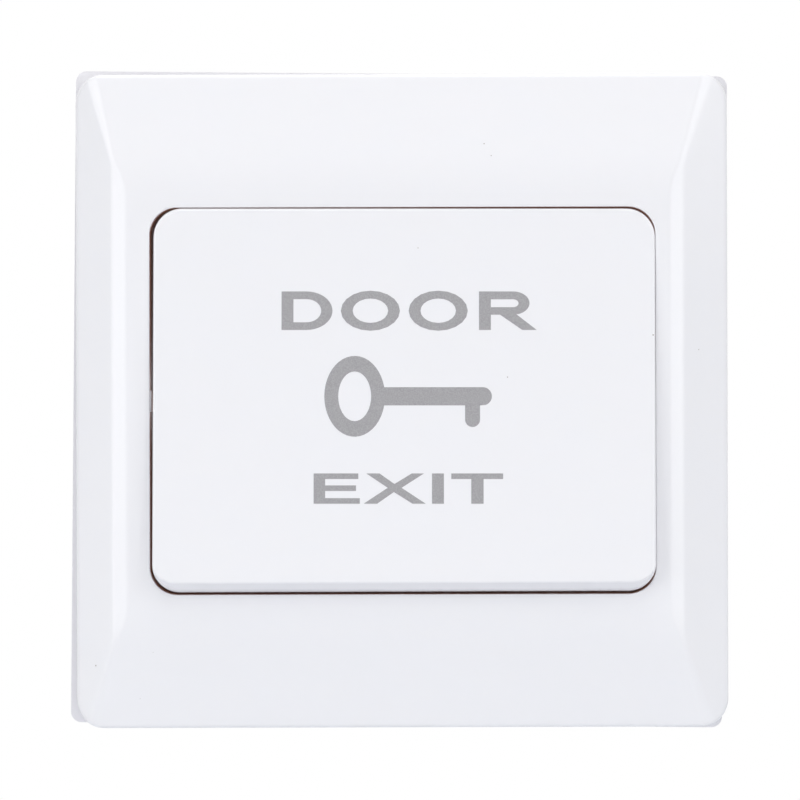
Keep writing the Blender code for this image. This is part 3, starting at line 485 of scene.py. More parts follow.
coverValues = {
    "size": 86.0 * mm,
    "cornerRadii": (3.7 * mm, 3.7 * mm),
    "wall": 1.6 * mm,
    "turn": math.radians(-0.15),
    "openingWidth": 66.25 * mm,
    "openingShift": 0.09 * mm,
    "openingHeight": 50.7 * mm,
    "openingRadii": (3.6 * mm, 3.6 * mm),
    "lipRound": 0.16 * mm,
    "collarWall": 1.2 * mm,
    "collarDepth": 2.0 * mm,
    "slopeLeft": 5.1 * mm,
    "slopeRight": 6.0 * mm,
    "slopeRise": 3.5 * mm,
    "bandWidth": 1.95 * mm,
    "bandRise": 0.5 * mm,
    "fallLength": 16.5 * mm,
    "fallRadius": 30.0 * mm,
    "fallAngle": math.radians(10.5),
    "rimRound": 0.45 * mm,
    "foldBlend": 0.045 * mm,          # softness of the folds beside the band
    "hipBlend": 0.10 * mm,            # softness of the hips at the corners
    "hipInset": (0.36 * mm, 0.80 * mm),   # reach of the hip's own band at its start and at the corner
    "hipSpan": (33.0 * mm, 42.0 * mm),    # height of its start and of the corner
    "guideHeight": 2.8 * mm,          # pad on the collar's left wall
    "guideReach": 0.2 * mm,
    "guideSetback": 0.6 * mm,
    "guideShort": 0.3 * mm,           # pad's end to the collar's edge
    "hookSpacing": 36.0 * mm,
    "hookWidth": 7.0 * mm,
    "hookReach": 1.3 * mm,
    "hookDepth": 0.7 * mm,
    "hookSetback": 0.1 * mm,
    "straightSteps": 130,
    "cornerSteps": 22,
    "frontSteps": 42,
    "insideSteps": 8,
    "roundSteps": 6,
}


def coverHeight(x, z, v=coverValues):
    # Distance of the front face from the wall
    half = v["size"] / 2
    slopeWidth = v["slopeRight"] if x > 0 else v["slopeLeft"]
    steepness = v["slopeRise"] / slopeWidth
    bandSteepness = v["bandRise"] / v["bandWidth"]
    foldOuter = half - slopeWidth
    foldInner = foldOuter - v["bandWidth"]
    band = coverFront - bandSteepness * (abs(x) - foldInner)
    slope = coverFront - v["bandRise"] - steepness * (abs(x) - foldOuter)

    # The fall is an arc, then a straight slope to the edge
    along = max(abs(z) - (half - v["fallLength"]), 0.0)
    arcEnd = v["fallRadius"] * math.sin(v["fallAngle"])
    if along < arcEnd:
        drop = v["fallRadius"] - math.sqrt(v["fallRadius"] ** 2 - along ** 2)
    else:
        arcDrop = v["fallRadius"] * (1 - math.cos(v["fallAngle"]))
        drop = arcDrop + (along - arcEnd) * math.tan(v["fallAngle"])
    fall = coverFront - drop

    # Along the hip, where slope and fall meet, a narrow band widens towards the corner
    spanStart, spanEnd = v["hipSpan"]
    share = min(max((abs(z) - spanStart) / (spanEnd - spanStart), 0.0), 1.0)
    inset = v["hipInset"][0] + share * (v["hipInset"][1] - v["hipInset"][0])
    hip = foldOuter + (drop - v["bandRise"]) / steepness
    hipBand = fall - bandSteepness * (abs(x) - hip + inset)
    top = softMin(softMin(fall, band, v["foldBlend"]), hipBand, v["foldBlend"])
    return softMin(top, slope, v["hipBlend"] if drop > v["bandRise"] else v["foldBlend"])


def coverNormal(x, z, step=0.05 * mm):
    slopeX = (coverHeight(x + step, z) - coverHeight(x - step, z)) / (2 * step)
    slopeZ = (coverHeight(x, z + step) - coverHeight(x, z - step)) / (2 * step)
    return Vector((-slopeX, -1.0, -slopeZ)).normalized()


def moved(outline, outward, distance):
    return [point + direction * distance for point, direction in zip(outline, outward)]


def makeCover(v=coverValues):
    steps = (v["straightSteps"], v["cornerSteps"])
    inner, innerOut = roundedOutline(v["openingWidth"], v["openingHeight"], v["openingRadii"], *steps)
    inner = [point + Vector((v["openingShift"], 0.0)) for point in inner]
    outer, outerOut = roundedOutline(v["size"], v["size"], v["cornerRadii"], *steps)
    count = len(inner)
    rings = []

    def addRing(flat, heights):
        rings.append([Vector((point.x, -height, point.y)) for point, height in zip(flat, heights)])

    def heightsAt(flat, drop=0.0):
        return [coverHeight(point.x, point.y) - drop for point in flat]

    # Out of the opening and over its rounded lip
    collarBack = coverFront - v["wall"] - v["collarDepth"]
    addRing(inner, [collarBack] * count)
    for inset, drop in reversed(quarterRound(v["lipRound"], v["roundSteps"])):
        flat = moved(inner, innerOut, inset)
        addRing(flat, heightsAt(flat, drop))

    # Across the front to the rounded rim, then down the outside
    start = moved(inner, innerOut, v["lipRound"])
    end = moved(outer, outerOut, -v["rimRound"])
    for step in range(1, v["frontSteps"]):
        share = step / v["frontSteps"]
        flat = [first.lerp(last, share) for first, last in zip(start, end)]
        addRing(flat, heightsAt(flat))
    for inset, drop in quarterRound(v["rimRound"], v["roundSteps"]):
        flat = moved(outer, outerOut, -inset)
        addRing(flat, heightsAt(flat, drop))
    addRing(outer, [coverBack] * count)

    # Back along the inside, past the collar to its edge
    inside = moved(outer, outerOut, -v["wall"])
    collarOuter = moved(inner, innerOut, v["collarWall"])
    addRing(inside, [coverBack] * count)
    for step in range(v["insideSteps"] + 1):
        share = step / v["insideSteps"]
        flat = [first.lerp(last, share) for first, last in zip(inside, collarOuter)]
        addRing(flat, heightsAt(flat, v["wall"]))
    addRing(collarOuter, [collarBack] * count)
    points = [point for ring in rings for point in ring]
    faces = ringFaces(len(rings), count, closed=True)

    # Snap hooks inside the top and bottom walls
    hookBack = -coverBack - v["hookSetback"]
    wallInside = v["size"] / 2 - v["wall"]
    for side in (-1, 1):
        for up in (-1, 1):
            middle = side * v["hookSpacing"] / 2
            addBlock(points, faces, (middle - v["hookWidth"] / 2, middle + v["hookWidth"] / 2),
                     (hookBack - v["hookDepth"], hookBack),
                     sorted((up * (wallInside - v["hookReach"]), up * (wallInside + v["wall"] / 2))))

    # Guide pad that fills part of the left gap
    openingLeft = v["openingShift"] - v["openingWidth"] / 2
    addBlock(points, faces, (openingLeft - v["collarWall"] / 2, openingLeft + v["guideReach"]),
             (-coverFront + v["guideSetback"], -collarBack - v["guideShort"]),
             (-v["guideHeight"] / 2, v["guideHeight"] / 2))
    cover = meshPiece("cover_moulding", turnAboutY(points, v["turn"]), faces, whiteAbs, "base")
    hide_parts("front_cover")
    print("cover:", len(faces), "faces")


makeCover()


# Button cap: a rounded plate with soft edges and a bevel along its lower edge

capValues = {
    "width": 65.66 * mm,
    "sideShift": 0.29 * mm,
    "topGap": 0.34 * mm,
    "bottomGap": 0.25 * mm,
    "slant": 0.0036,                  # rise of the lower edge towards the right
    "cornerRadii": (3.78 * mm, 3.45 * mm),
    "rise": 0.25 * mm,                # in front of the cover, when pressed
    "edgeRound": 0.40 * mm,
    "lowerRound": 0.38 * mm,          # below the bevel
    "bevelWidth": 1.15 * mm,
    "bevelDepth": 2.85 * mm,
    "bevelBlend": 0.16 * mm,
    "bevelTurn": 1.3,                 # how fast the bevel narrows round the corners
    "wall": 1.5 * mm,
    "face": 1.95 * mm,                # thickness of the face
    "back": 4.4 * mm,                 # distance of the back edge from the wall
    "ribHeight": 1.4 * mm,
    "ribThickness": 0.9 * mm,
    "ribCount": 4,
    "ribInner": 22.75 * mm,
    "lugLevels": (3.92 * mm, -14.08 * mm),
    "lugHeight": 5.0 * mm,
    "lugThickness": 1.3 * mm,
    "lugInner": 19.3 * mm,
    "lugHook": 1.1 * mm,
    "lugHookDepth": 0.6 * mm,
    "lugDrop": 1.8 * mm,              # face's inside to the hooks
    "margin": 3.2 * mm,               # band of fine rings inside the edge
    "marginSteps": 26,
    "marginPace": 1.4,                # rings lie closer near the edge
    "straightSteps": 60,
    "cornerSteps": 20,
    "roundSteps": 7,
}
capFront = coverFront + capValues["rise"]


def makeCap(v=capValues):
    height = coverValues["openingHeight"] - v["topGap"] - v["bottomGap"]
    bottom = v["bottomGap"] - coverValues["openingHeight"] / 2
    middle = Vector((v["sideShift"], bottom + height / 2))
    outline, outward = roundedOutline(v["width"], height, v["cornerRadii"],
                                      v["straightSteps"], v["cornerSteps"])
    count = len(outline)
    steepness = v["bevelDepth"] / v["bevelWidth"]
    rings = []

    def slanted(flat):
        fromTop = middle.y + height / 2 - flat.y
        return Vector((flat.x, flat.y + v["slant"] * flat.x * fromTop / height))

    def addRing(inset, level):
        ring = []
        for point, direction in zip(outline, outward):
            flat = slanted(middle + point - direction * inset)
            ring.append(Vector((flat.x, -level, flat.y)))
        rings.append(ring)

    def addFaceRing(share, drop):
        # Share is 0 at the outline, 1 at the end of the rounded edge and 2 at the end of the margin
        ring = []
        for point, direction in zip(outline, outward):
            down = max(-direction.y, 0.0) ** v["bevelTurn"]
            edge = v["edgeRound"] + down * (v["lowerRound"] - v["edgeRound"])
            inset = edge * share if share <= 1 else edge + (v["margin"] - edge) * (share - 1)
            bevelled = capFront - steepness * (down * v["bevelWidth"] - inset)
            flat = slanted(middle + point - direction * inset)
            tall = softMin(capFront, bevelled, v["bevelBlend"]) - drop * edge
            ring.append(Vector((flat.x, -tall, flat.y)))
        rings.append(ring)

    # Inner face and wall, round the back edge, up the outside and over the soft edge
    inside = capFront - v["face"]
    addRing(v["margin"], inside)
    addRing(v["wall"], inside)
    addRing(v["wall"], v["back"])
    addRing(0.0, v["back"])
    for inset, drop in reversed(quarterRound(1.0, v["roundSteps"])):
        addFaceRing(inset, drop)
    for step in range(1, v["marginSteps"] + 1):
        addFaceRing(1 + (step / v["marginSteps"]) ** v["marginPace"], 0.0)
    points = [point for ring in rings for point in ring]
    faces = ringFaces(len(rings), count) + endFaces(len(rings), count)

    # Ribs at the sides and the lugs that hold the carrier, on the inner face
    sunk = -inside - v["face"] / 2
    hookFront = -inside + v["lugDrop"]
    hookBack = hookFront + v["lugHookDepth"]
    for side in (-1, 1):
        for index in range(v["ribCount"]):
            level = middle.y + height * ((index + 0.5) / v["ribCount"] - 0.5)
            across = sorted((v["sideShift"] + side * v["ribInner"],
                             v["sideShift"] + side * (v["width"] - v["wall"]) / 2))
            addBlock(points, faces, across, (sunk, -inside + v["ribHeight"]),
                     (level - v["ribThickness"] / 2, level + v["ribThickness"] / 2))
        for level in v["lugLevels"]:
            upright = (level - v["lugHeight"] / 2, level + v["lugHeight"] / 2)
            lug = sorted((side * v["lugInner"], side * (v["lugInner"] + v["lugThickness"])))
            hook = sorted((side * (v["lugInner"] - v["lugHook"]),
                           side * (v["lugInner"] + v["lugThickness"] / 2)))
            addBlock(points, faces, lug, (sunk, hookBack), upright)
            addBlock(points, faces, hook, (hookFront, hookBack), upright)
    cap = meshPiece("button_moulding", pressedToRest(points), faces, whiteAbs, "button")
    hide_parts("button_cap")
    print("button:", len(faces), "faces")


makeCap()


# Print on the button: a word, a key sign and a word, each from its own plain outlines

printValues = {                       # in millimetres on the button's face, apart from proud
    "proud": 0.02 * mm,
    "arcSteps": 20,
    "highWord": {"top": 14.06, "bottom": 9.02, "stem": 1.55, "arm": 1.0},
    "lowWord": {"top": -9.74, "bottom": -13.68, "stem": 1.5, "arm": 0.72},
    "letterD": {"left": -15.74, "bowl": 3.25, "reach": 3.40, "counterReach": 1.93},
    "letterO": {"centres": (-4.13, 4.73), "radii": (3.86, 2.62), "counterRadii": (2.32, 1.60), "count": 20},
    "letterR": {"left": 10.06, "bowl": 4.45, "bowlRadii": (2.15, 1.52), "bowlStart": -72,
                "counterDrop": 1.54, "counterRadii": (0.72, 0.52),
                "legInside": (2.75, 2.0), "legFoot": (5.65, 7.54), "legOutside": (4.85, 2.08)},
    "letterE": {"left": -11.52, "right": -5.50, "waistUp": 0.05, "waistShort": 0.50, "topShort": 0.20},
    "letterX": {"left": -5.0, "feet": (0.0, 1.77, 6.37, 8.09), "heads": (7.86, 6.27, 2.07, 0.35),
                "notches": ((3.94, -0.45), (4.94, 0.10), (4.02, 0.60), (3.14, 0.10))},
    "letterI": {"left": 3.91, "right": 5.46},
    "letterT": {"left": 6.43, "right": 13.18, "stemLeft": 9.03, "stemRight": 10.63},
    "key": {"middle": 0.34, "bow": -6.18, "bowRadii": (3.96, 5.28), "bowSteps": 40,
            "holeRadii": (2.15, 3.25), "holeCount": 36, "halfShaft": 1.185,
            "bitLeft": 8.23, "bitRight": 10.18, "bitCentre": (9.205, -2.70), "bitRadius": 0.975,
            "tip": 10.55, "tipReach": 1.18, "tipStart": -72, "endSteps": 14},
}


def arc(centre, radii, start, end, steps=printValues["arcSteps"]):
    points = []
    for step in range(steps + 1):
        angle = math.radians(start + (end - start) * step / steps)
        points.append((centre[0] + radii[0] * math.cos(angle), centre[1] + radii[1] * math.sin(angle)))
    return points


def oval(centre, radii, count):
    return arc(centre, radii, 0, 360 - 360 / count, count - 1)


def letterD(word, v):
    top, bottom = word["top"], word["bottom"]
    middle, tall = (top + bottom) / 2, (top - bottom) / 2
    left, bowl = v["left"], v["left"] + v["bowl"]
    stem = left + word["stem"]
    outside = [(left, bottom)] + arc((bowl, middle), (v["reach"], tall), -90, 90) + [(left, top)]
    counter = [(stem, bottom + word["arm"])]
    counter += arc((bowl, middle), (v["counterReach"], tall - word["arm"]), -90, 90)
    counter += [(stem, top - word["arm"])]
    return [outside, counter]


def letterO(centre, word, v):
    middle = (word["top"] + word["bottom"]) / 2
    return [oval((centre, middle), v["radii"], v["count"]),
            oval((centre, middle), v["counterRadii"], v["count"])]


def letterR(word, v):
    top, bottom = word["top"], word["bottom"]
    left, bowl = v["left"], v["left"] + v["bowl"]
    stem = left + word["stem"]
    insideX, insideUp = v["legInside"]
    outsideX, outsideUp = v["legOutside"]
    outside = [(left, bottom), (stem, bottom), (stem, bottom + insideUp)]
    outside += [(left + insideX, bottom + insideUp)] + [(left + foot, bottom) for foot in v["legFoot"]]
    outside += [(left + outsideX, bottom + outsideUp)]
    outside += arc((bowl, top - v["bowlRadii"][1]), v["bowlRadii"], v["bowlStart"], 90) + [(left, top)]
    middle, tall = top - v["counterDrop"], v["counterRadii"][1]
    counter = [(stem, middle - tall)] + arc((bowl, middle), v["counterRadii"], -90, 90)
    return [outside, counter + [(stem, middle + tall)]]


def letterE(word, v):
    top, bottom, arm = word["top"], word["bottom"], word["arm"]
    left, right = v["left"], v["right"]
    stem = left + word["stem"]
    middle = (top + bottom) / 2 + v["waistUp"]
    waistEnd, topEnd = right - v["waistShort"], right - v["topShort"]
    return [[(left, bottom), (right, bottom), (right, bottom + arm), (stem, bottom + arm),
             (stem, middle - arm / 2), (waistEnd, middle - arm / 2),
             (waistEnd, middle + arm / 2), (stem, middle + arm / 2),
             (stem, top - arm), (topEnd, top - arm), (topEnd, top), (left, top)]]


def letterX(word, v):
    top, bottom = word["top"], word["bottom"]
    middle = (top + bottom) / 2
    feet = [(v["left"] + foot, bottom) for foot in v["feet"]]
    heads = [(v["left"] + head, top) for head in v["heads"]]
    low, right, high, left = ((v["left"] + across, middle + up) for across, up in v["notches"])
    return [feet[:2] + [low] + feet[2:] + [right] + heads[:2] + [high] + heads[2:] + [left]]


def letterI(word, v):
    return [[(v["left"], word["bottom"]), (v["right"], word["bottom"]),
             (v["right"], word["top"]), (v["left"], word["top"])]]


def letterT(word, v):
    top, under = word["top"], word["top"] - word["arm"]
    return [[(v["stemLeft"], word["bottom"]), (v["stemRight"], word["bottom"]), (v["stemRight"], under),
             (v["right"], under), (v["right"], top), (v["left"], top), (v["left"], under),
             (v["stemLeft"], under)]]


def keySign(v):
    # One outline: round the bow, along the shaft to its bit and round the tip
    middle, half, ends = v["middle"], v["halfShaft"], v["endSteps"]
    start = math.degrees(math.asin(half / v["bowRadii"][1]))
    outline = arc((v["bow"], middle), v["bowRadii"], start, 360 - start, v["bowSteps"])
    outline += [(v["bitLeft"], middle - half)]
    outline += arc(v["bitCentre"], (v["bitRadius"], v["bitRadius"]), 180, 360, ends)
    outline += [(v["bitRight"], middle - half)]
    outline += arc((v["tip"], middle), (v["tipReach"], half), v["tipStart"], 90, ends)
    return [outline, oval((v["bow"], middle), v["holeRadii"], v["holeCount"])]


def printedPiece(name, groups):
    # Each group of outlines is filled by itself, so that a counter cuts only its own letter
    work = bmesh.new()
    for outlines in groups:
        curve = bpy.data.curves.new(name, "CURVE")
        curve.dimensions = "2D"
        curve.fill_mode = "BOTH"
        curve.extrude = printValues["proud"]
        for outline in outlines:
            spline = curve.splines.new("POLY")
            spline.points.add(len(outline) - 1)
            for point, (x, z) in zip(spline.points, outline):
                point.co = (x * mm, z * mm, 0.0, 1.0)
            spline.use_cyclic_u = True
        drawn = placed(name, curve)
        filled = resultMesh(drawn)
        work.from_mesh(filled)
        bpy.data.objects.remove(drawn, do_unlink=True)
        bpy.data.meshes.remove(filled)
    bmesh.ops.remove_doubles(work, verts=work.verts, dist=0.001 * mm)
    made = bpy.data.meshes.new(name)
    work.to_mesh(made)
    work.free()
    upright = [Vector((vertex.co.x, -capFront - vertex.co.z, vertex.co.y)) for vertex in made.vertices]
    faces = [tuple(polygon.vertices) for polygon in made.polygons]
    meshPiece(name, pressedToRest(upright), faces, ink, "button", smooth=False)
    bpy.data.meshes.remove(made)


def makePrint(v=printValues):
    high, low = v["highWord"], v["lowWord"]
    firstO, secondO = v["letterO"]["centres"]
    printedPiece("upper_word", [letterD(high, v["letterD"]), letterO(firstO, high, v["letterO"]),
                                letterO(secondO, high, v["letterO"]), letterR(high, v["letterR"])])
    printedPiece("key_sign", [keySign(v["key"])])
    printedPiece("lower_word", [letterE(low, v["letterE"]), letterX(low, v["letterX"]),
                                letterI(low, v["letterI"]), letterT(low, v["letterT"])])
    print("print made")


makePrint()


# Springs: coils with closed ends

springValues = {
    "button_spring_left": {"wire": 0.45 * mm, "turns": 6, "body": "base"},
    "button_spring_right": {"wire": 0.45 * mm, "turns": 6, "body": "base"},
    "plunger_spring": {"wire": 0.40 * mm, "turns": 5, "body": "base"},
    "contact_spring": {"wire": 0.30 * mm, "turns": 4, "body": "plunger"},
}
springSteps = {
    "perTurn": 36,
    "section": 12,                    # points round the wire
    "closedPitch": 1.12,              # in wire diameters, at the ends
    "sharpAngle": math.radians(50),
}


def makeSpring(node, v, steps=springSteps):
    low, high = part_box(node)
    centre = (low + high) / 2
    radius = (high.x - low.x - v["wire"]) / 2
    start = low.y + v["wire"] / 2
    end = high.y - v["wire"] / 2
    closed = steps["closedPitch"] * v["wire"]
    pitch = (end - start - 2 * closed) / (v["turns"] - 2)
    count = v["turns"] * steps["perTurn"] + 1
    along = Vector((0, 1, 0))
    points = []
    for index in range(count):
        turn = index / steps["perTurn"]
        if turn < 1:
            y = start + closed * turn
        elif turn > v["turns"] - 1:
            y = end - closed * (v["turns"] - turn)
        else:
            y = start + closed + pitch * (turn - 1)
        angle = 2 * math.pi * turn
        outward = Vector((math.cos(angle), 0.0, math.sin(angle)))
        middle = Vector((centre.x, y, centre.z)) + radius * outward
        for corner in range(steps["section"]):
            around = 2 * math.pi * corner / steps["section"]
            points.append(middle + v["wire"] / 2 * (math.cos(around) * outward + math.sin(around) * along))
    faces = ringFaces(count, steps["section"]) + endFaces(count, steps["section"])
    spring = meshPiece(node + "_coil", points, faces, springWire, v["body"])
    spring.data.set_sharp_from_angle(angle=steps["sharpAngle"])
    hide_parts(node)
    return spring


def makeSprings():
    for node, values in springValues.items():
        spring = makeSpring(node, values)
        low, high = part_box(node)
        length = high.y - low.y
        if node.startswith("button"):
            lever = hingePlace.z - (low.z + high.z) / 2
            travel = lever * math.tan(pressAngle)
            1 - travel / length
            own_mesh(spring)
        elif node.startswith("plunger"):
            travel = slide["range_m"][1]
            1 - travel / length
            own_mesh(spring)
    print("springs made")


makeSprings()


# Screws: threaded shanks and crossed recesses

screwValues = {
    "terminal": {"nodes": ("com_terminal_screw", "no_terminal_screw"), "headEnd": 1,
                 "radius": 1.5 * mm, "pitch": 0.5 * mm, "depth": 0.22 * mm,
                 "headHeight": 1.4 * mm, "chamfer": 0.35 * mm, "tipTaper": 0.4 * mm},
    "housing": {"nodes": ("housing_screw_left", "housing_screw_right"), "headEnd": -1,
                "radius": 1.0 * mm, "pitch": 0.7 * mm, "depth": 0.22 * mm,
                "headHeight": 1.2 * mm, "chamfer": 0.35 * mm, "tipTaper": 0.9 * mm},
}
screwSteps = {
    "around": 40,
    "perPitch": 10,
    "chamfer": 5,
    "tipShare": 0.35,                 # the tip's radius, as a share of the shank's
    "runOut": 0.25,                   # the thread's depth where it meets the head
    "underHead": 0.02 * mm,           # a close ring that keeps the edge under the head crisp
    "recessWidth": 0.6 * mm,
    "recessDepth": 0.85 * mm,
    "recessReach": 0.66,              # as a share of the head's radius
    "sharpAngle": math.radians(40),
}


def threadRadius(along, share, shank, v, steps):
    # Share is the part of a turn that has been gone round
    phase = (along / v["pitch"] - share) % 1.0
    ridge = 1 - abs(2 * phase - 1)
    taper = min(1.0, steps["tipShare"] + (1 - steps["tipShare"]) * along / v["tipTaper"])
    fade = min(1.0, (shank - along) / v["pitch"] + steps["runOut"])
    return (v["radius"] - v["depth"] * (1 - ridge) * fade) * taper


def carve(piece, acrossX, acrossY, acrossZ):
    points = []
    faces = []
    addBlock(points, faces, acrossX, acrossY, acrossZ)
    cutter = placed("recess", closedMesh("recess", points, faces))
    cut = piece.modifiers.new("recess", "BOOLEAN")
    cut.operation = "DIFFERENCE"
    cut.object = cutter
    carved = resultMesh(piece)
    piece.modifiers.clear()
    piece.data = carved
    bpy.data.objects.remove(cutter, do_unlink=True)


def makeScrew(node, v, steps=screwSteps):
    low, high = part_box(node)
    centre = (low + high) / 2
    headRadius = (high.x - low.x) / 2
    length = high.y - low.y
    shank = length - v["headHeight"]
    shares = [index / steps["around"] for index in range(steps["around"])]
    lengthSteps = round(shank / v["pitch"] * steps["perPitch"])

    # Radii of each ring and its distance from the tip
    rings = []
    for step in range(lengthSteps + 1):
        along = shank * step / lengthSteps
        rings.append(([threadRadius(along, share, shank, v, steps) for share in shares], along))
    headRings = [(headRadius, shank), (headRadius, shank + steps["underHead"])]
    headRings += [(headRadius - inset, length - drop)
                  for inset, drop in reversed(quarterRound(v["chamfer"], steps["chamfer"]))]
    rings += [([radius] * len(shares), along) for radius, along in headRings]
    points = []
    for radii, along in rings:
        y = low.y + along if v["headEnd"] > 0 else high.y - along
        for index, radius in enumerate(radii):
            angle = 2 * math.pi * index / len(radii)
            points.append(Vector((centre.x + radius * math.cos(angle), y,
                                  centre.z + radius * math.sin(angle))))
    faces = ringFaces(len(rings), len(shares)) + endFaces(len(rings), len(shares))
    screw = meshPiece(node + "_threaded", points, faces, zinc, "base", smooth=False)

    # The crossed recess is cut from the head's end
    headY = high.y if v["headEnd"] > 0 else low.y
    reach = steps["recessReach"] * headRadius
    half = steps["recessWidth"] / 2
    depth = (headY - steps["recessDepth"], headY + steps["recessDepth"])
    for wide, tall in ((reach, half), (half, reach)):
        carve(screw, (centre.x - wide, centre.x + wide), depth, (centre.z - tall, centre.z + tall))
    screw.data.shade_smooth()
    screw.data.set_sharp_from_angle(angle=steps["sharpAngle"])
    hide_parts(node)


for kind in screwValues.values():
    for nodeName in kind["nodes"]:
        makeScrew(nodeName, kind)
print("screws made")


# Pieces that keep their solid: a finish and softened edges

keptPieces = {
    "wall_plate": (plateAbs, 0.18 * mm),
    "mechanism_housing": (nylon, 0.16 * mm),
    "rocker_carrier": (nylon, 0.12 * mm),
    "plunger": (nylon, 0.06 * mm),
    "rear_lid": (phenolic, 0.16 * mm),
    "contact_bridge": (brass, 0.08 * mm),
    "com_terminal": (brass, 0.10 * mm),
    "no_terminal": (brass, 0.10 * mm),
    "com_wire_clamp": (zinc, 0.10 * mm),
    "no_wire_clamp": (zinc, 0.10 * mm),
    "bridge_contact_left": (silver, 0.05 * mm),
    "bridge_contact_right": (silver, 0.05 * mm),
    "com_contact": (silver, 0.05 * mm),
    "no_contact": (silver, 0.05 * mm),
}
edgeValues = {
    "joinDistance": 0.0005 * mm,
    "flatAngle": math.radians(0.8),
    "edgeAngle": math.radians(32),
    "segments": 3,
}


def joinFacets(v=edgeValues):
    # Joins the facets of a solid and drops their stored normals, so that its edges can be rounded
    group = bpy.data.node_groups.new("joinFacets", "GeometryNodeTree")
    group.interface.new_socket("Geometry", in_out="INPUT", socket_type="NodeSocketGeometry")
    group.interface.new_socket("Geometry", in_out="OUTPUT", socket_type="NodeSocketGeometry")
    start = group.nodes.new("NodeGroupInput")
    merge = group.nodes.new("GeometryNodeMergeByDistance")
    merge.inputs["Distance"].default_value = v["joinDistance"]
    drop = group.nodes.new("GeometryNodeRemoveAttribute")
    drop.inputs["Name"].default_value = "custom_normal"
    smooth = group.nodes.new("GeometryNodeSetShadeSmooth")
    end = group.nodes.new("NodeGroupOutput")
    group.links.new(start.outputs[0], merge.inputs["Geometry"])
    group.links.new(merge.outputs[0], drop.inputs["Geometry"])
    group.links.new(drop.outputs[0], smooth.inputs["Geometry"])
    group.links.new(smooth.outputs[0], end.inputs[0])
    return group


def dressKept(v=edgeValues):
    joined = joinFacets()
    for node, (material, width) in keptPieces.items():
        piece = frame["nodes"][node]
        piece.data.materials.clear()
        piece.data.materials.append(material)
        join = piece.modifiers.new("joinFacets", "NODES")
        join.node_group = joined
        flat = piece.modifiers.new("flatFaces", "DECIMATE")
        flat.decimate_type = "DISSOLVE"
        flat.angle_limit = v["flatAngle"]
        soft = piece.modifiers.new("softEdges", "BEVEL")
        soft.width = width
        soft.segments = v["segments"]
        soft.limit_method = "ANGLE"
        soft.angle_limit = v["edgeAngle"]
        soft.use_clamp_overlap = True
        soft.harden_normals = False
        weigh = piece.modifiers.new("faceNormals", "WEIGHTED_NORMAL")
        weigh.keep_sharp = False
    print("kept pieces dressed:", len(keptPieces))


dressKept()


# Dust specks, where the photograph shows them on the cover and the button

speckValues = {
    "radius": 0.085 * mm,
    "rise": 0.02 * mm,
    "around": 9,
    "rings": ((0.6, 0.8), (1.0, -0.2)),   # share of the radius and of the rise
    "wobble": 0.25,
    "lobes": 3,
    "smallest": 0.8,                  # in radii
    "sizeSpread": 0.4,
    "sizePace": 0.37,                 # from one speck to the next
    "pixelsPerMm": 7.62,
    "middle": (402.0, 400.7),
    "onCover": ((153.4, 652), (140, 699), (95.3, 666), (699, 349.5), (491, 156), (484, 144)),
    "onButton": ((418, 250), (507, 379), (652, 337)),
}


def speckShape(points, faces, place, normal, size, v=speckValues):
    sideways = normal.cross(Vector((0, 0, 1))).normalized()
    upward = sideways.cross(normal)
    first = len(points)
    around = v["around"]
    points.append(place + normal * v["rise"])
    for share, rise in v["rings"]:
        for index in range(around):
            angle = 2 * math.pi * index / around
            wobble = 1 + v["wobble"] * math.sin(v["lobes"] * angle + place.x / mm)
            reach = v["radius"] * size * share * wobble
            points.append(place + reach * (math.cos(angle) * sideways + math.sin(angle) * upward)
                          + normal * v["rise"] * rise)
    inner = first + 1
    outer = inner + around
    for index in range(around):
        after = (index + 1) % around
        faces.append((first, inner + index, inner + after))
        faces.append((inner + index, outer + index, outer + after, inner + after))


def makeSpecks(v=speckValues):
    for name, body, pixels in (("cover_dust", "base", v["onCover"]),
                               ("button_dust", "button", v["onButton"])):
        points = []
        faces = []
        for number, (column, row) in enumerate(pixels):
            x = (column - v["middle"][0]) / v["pixelsPerMm"] * mm
            z = (v["middle"][1] - row) / v["pixelsPerMm"] * mm
            size = v["smallest"] + v["sizeSpread"] * ((number * v["sizePace"]) % 1.0)
            if body == "base":
                speckShape(points, faces, Vector((x, -coverHeight(x, z), z)), coverNormal(x, z), size)
            else:
                speckShape(points, faces, Vector((x, -capFront, z)), Vector((0.0, -1.0, 0.0)), size)
        if body == "button":
            points = pressedToRest(points)
        meshPiece(name, points, faces, speck, body)
    print("dust placed")


makeSpecks()


# Studio: white surroundings, soft lamps at the front, a pale floor below the part

studioValues = {
    "cameraDistance": 505.0 * mm,
    "focalPixels": 3790.0,
    "imageWidth": 800.0,
    "sensor": 36.0,
    "objectPixel": (402.0, 400.7),
    "nearest": 10.0 * mm,
    "fill": 0.232,
    "fillTint": rgb(0.955, 0.975, 1.0),
}
lampValues = {                        # degrees right and up, distance, width, height, radiance
    "leftStrip": (-35, 15, 0.9, 0.10, 0.68, 3.9),
    "rightStrip": (35, 15, 0.9, 0.10, 0.68, 3.4),
    "leftSoftbox": (-57, 10, 0.9, 0.42, 0.60, 2.5),
    "rightSoftbox": (57, 24, 0.9, 0.50, 0.60, 2.1),
    "frontTopSoftbox": (0, 45, 0.9, 0.50, 0.26, 2.2),
    "topSoftbox": (0, 78, 0.92, 0.80, 0.80, 1.65),
    "backTopSoftbox": (0, 100, 0.92, 0.80, 0.50, 1.35),
}
floorValues = {
    "drop": 60.0 * mm,                # below the part
    "reach": 450.0 * mm,
    "tints": (rgb(0.88, 0.905, 0.95), rgb(0.905, 0.93, 0.97)),
    "paperSize": 1.5 * mm,
    "roughness": 0.85,
    "roughnessSpread": 0.1,
}


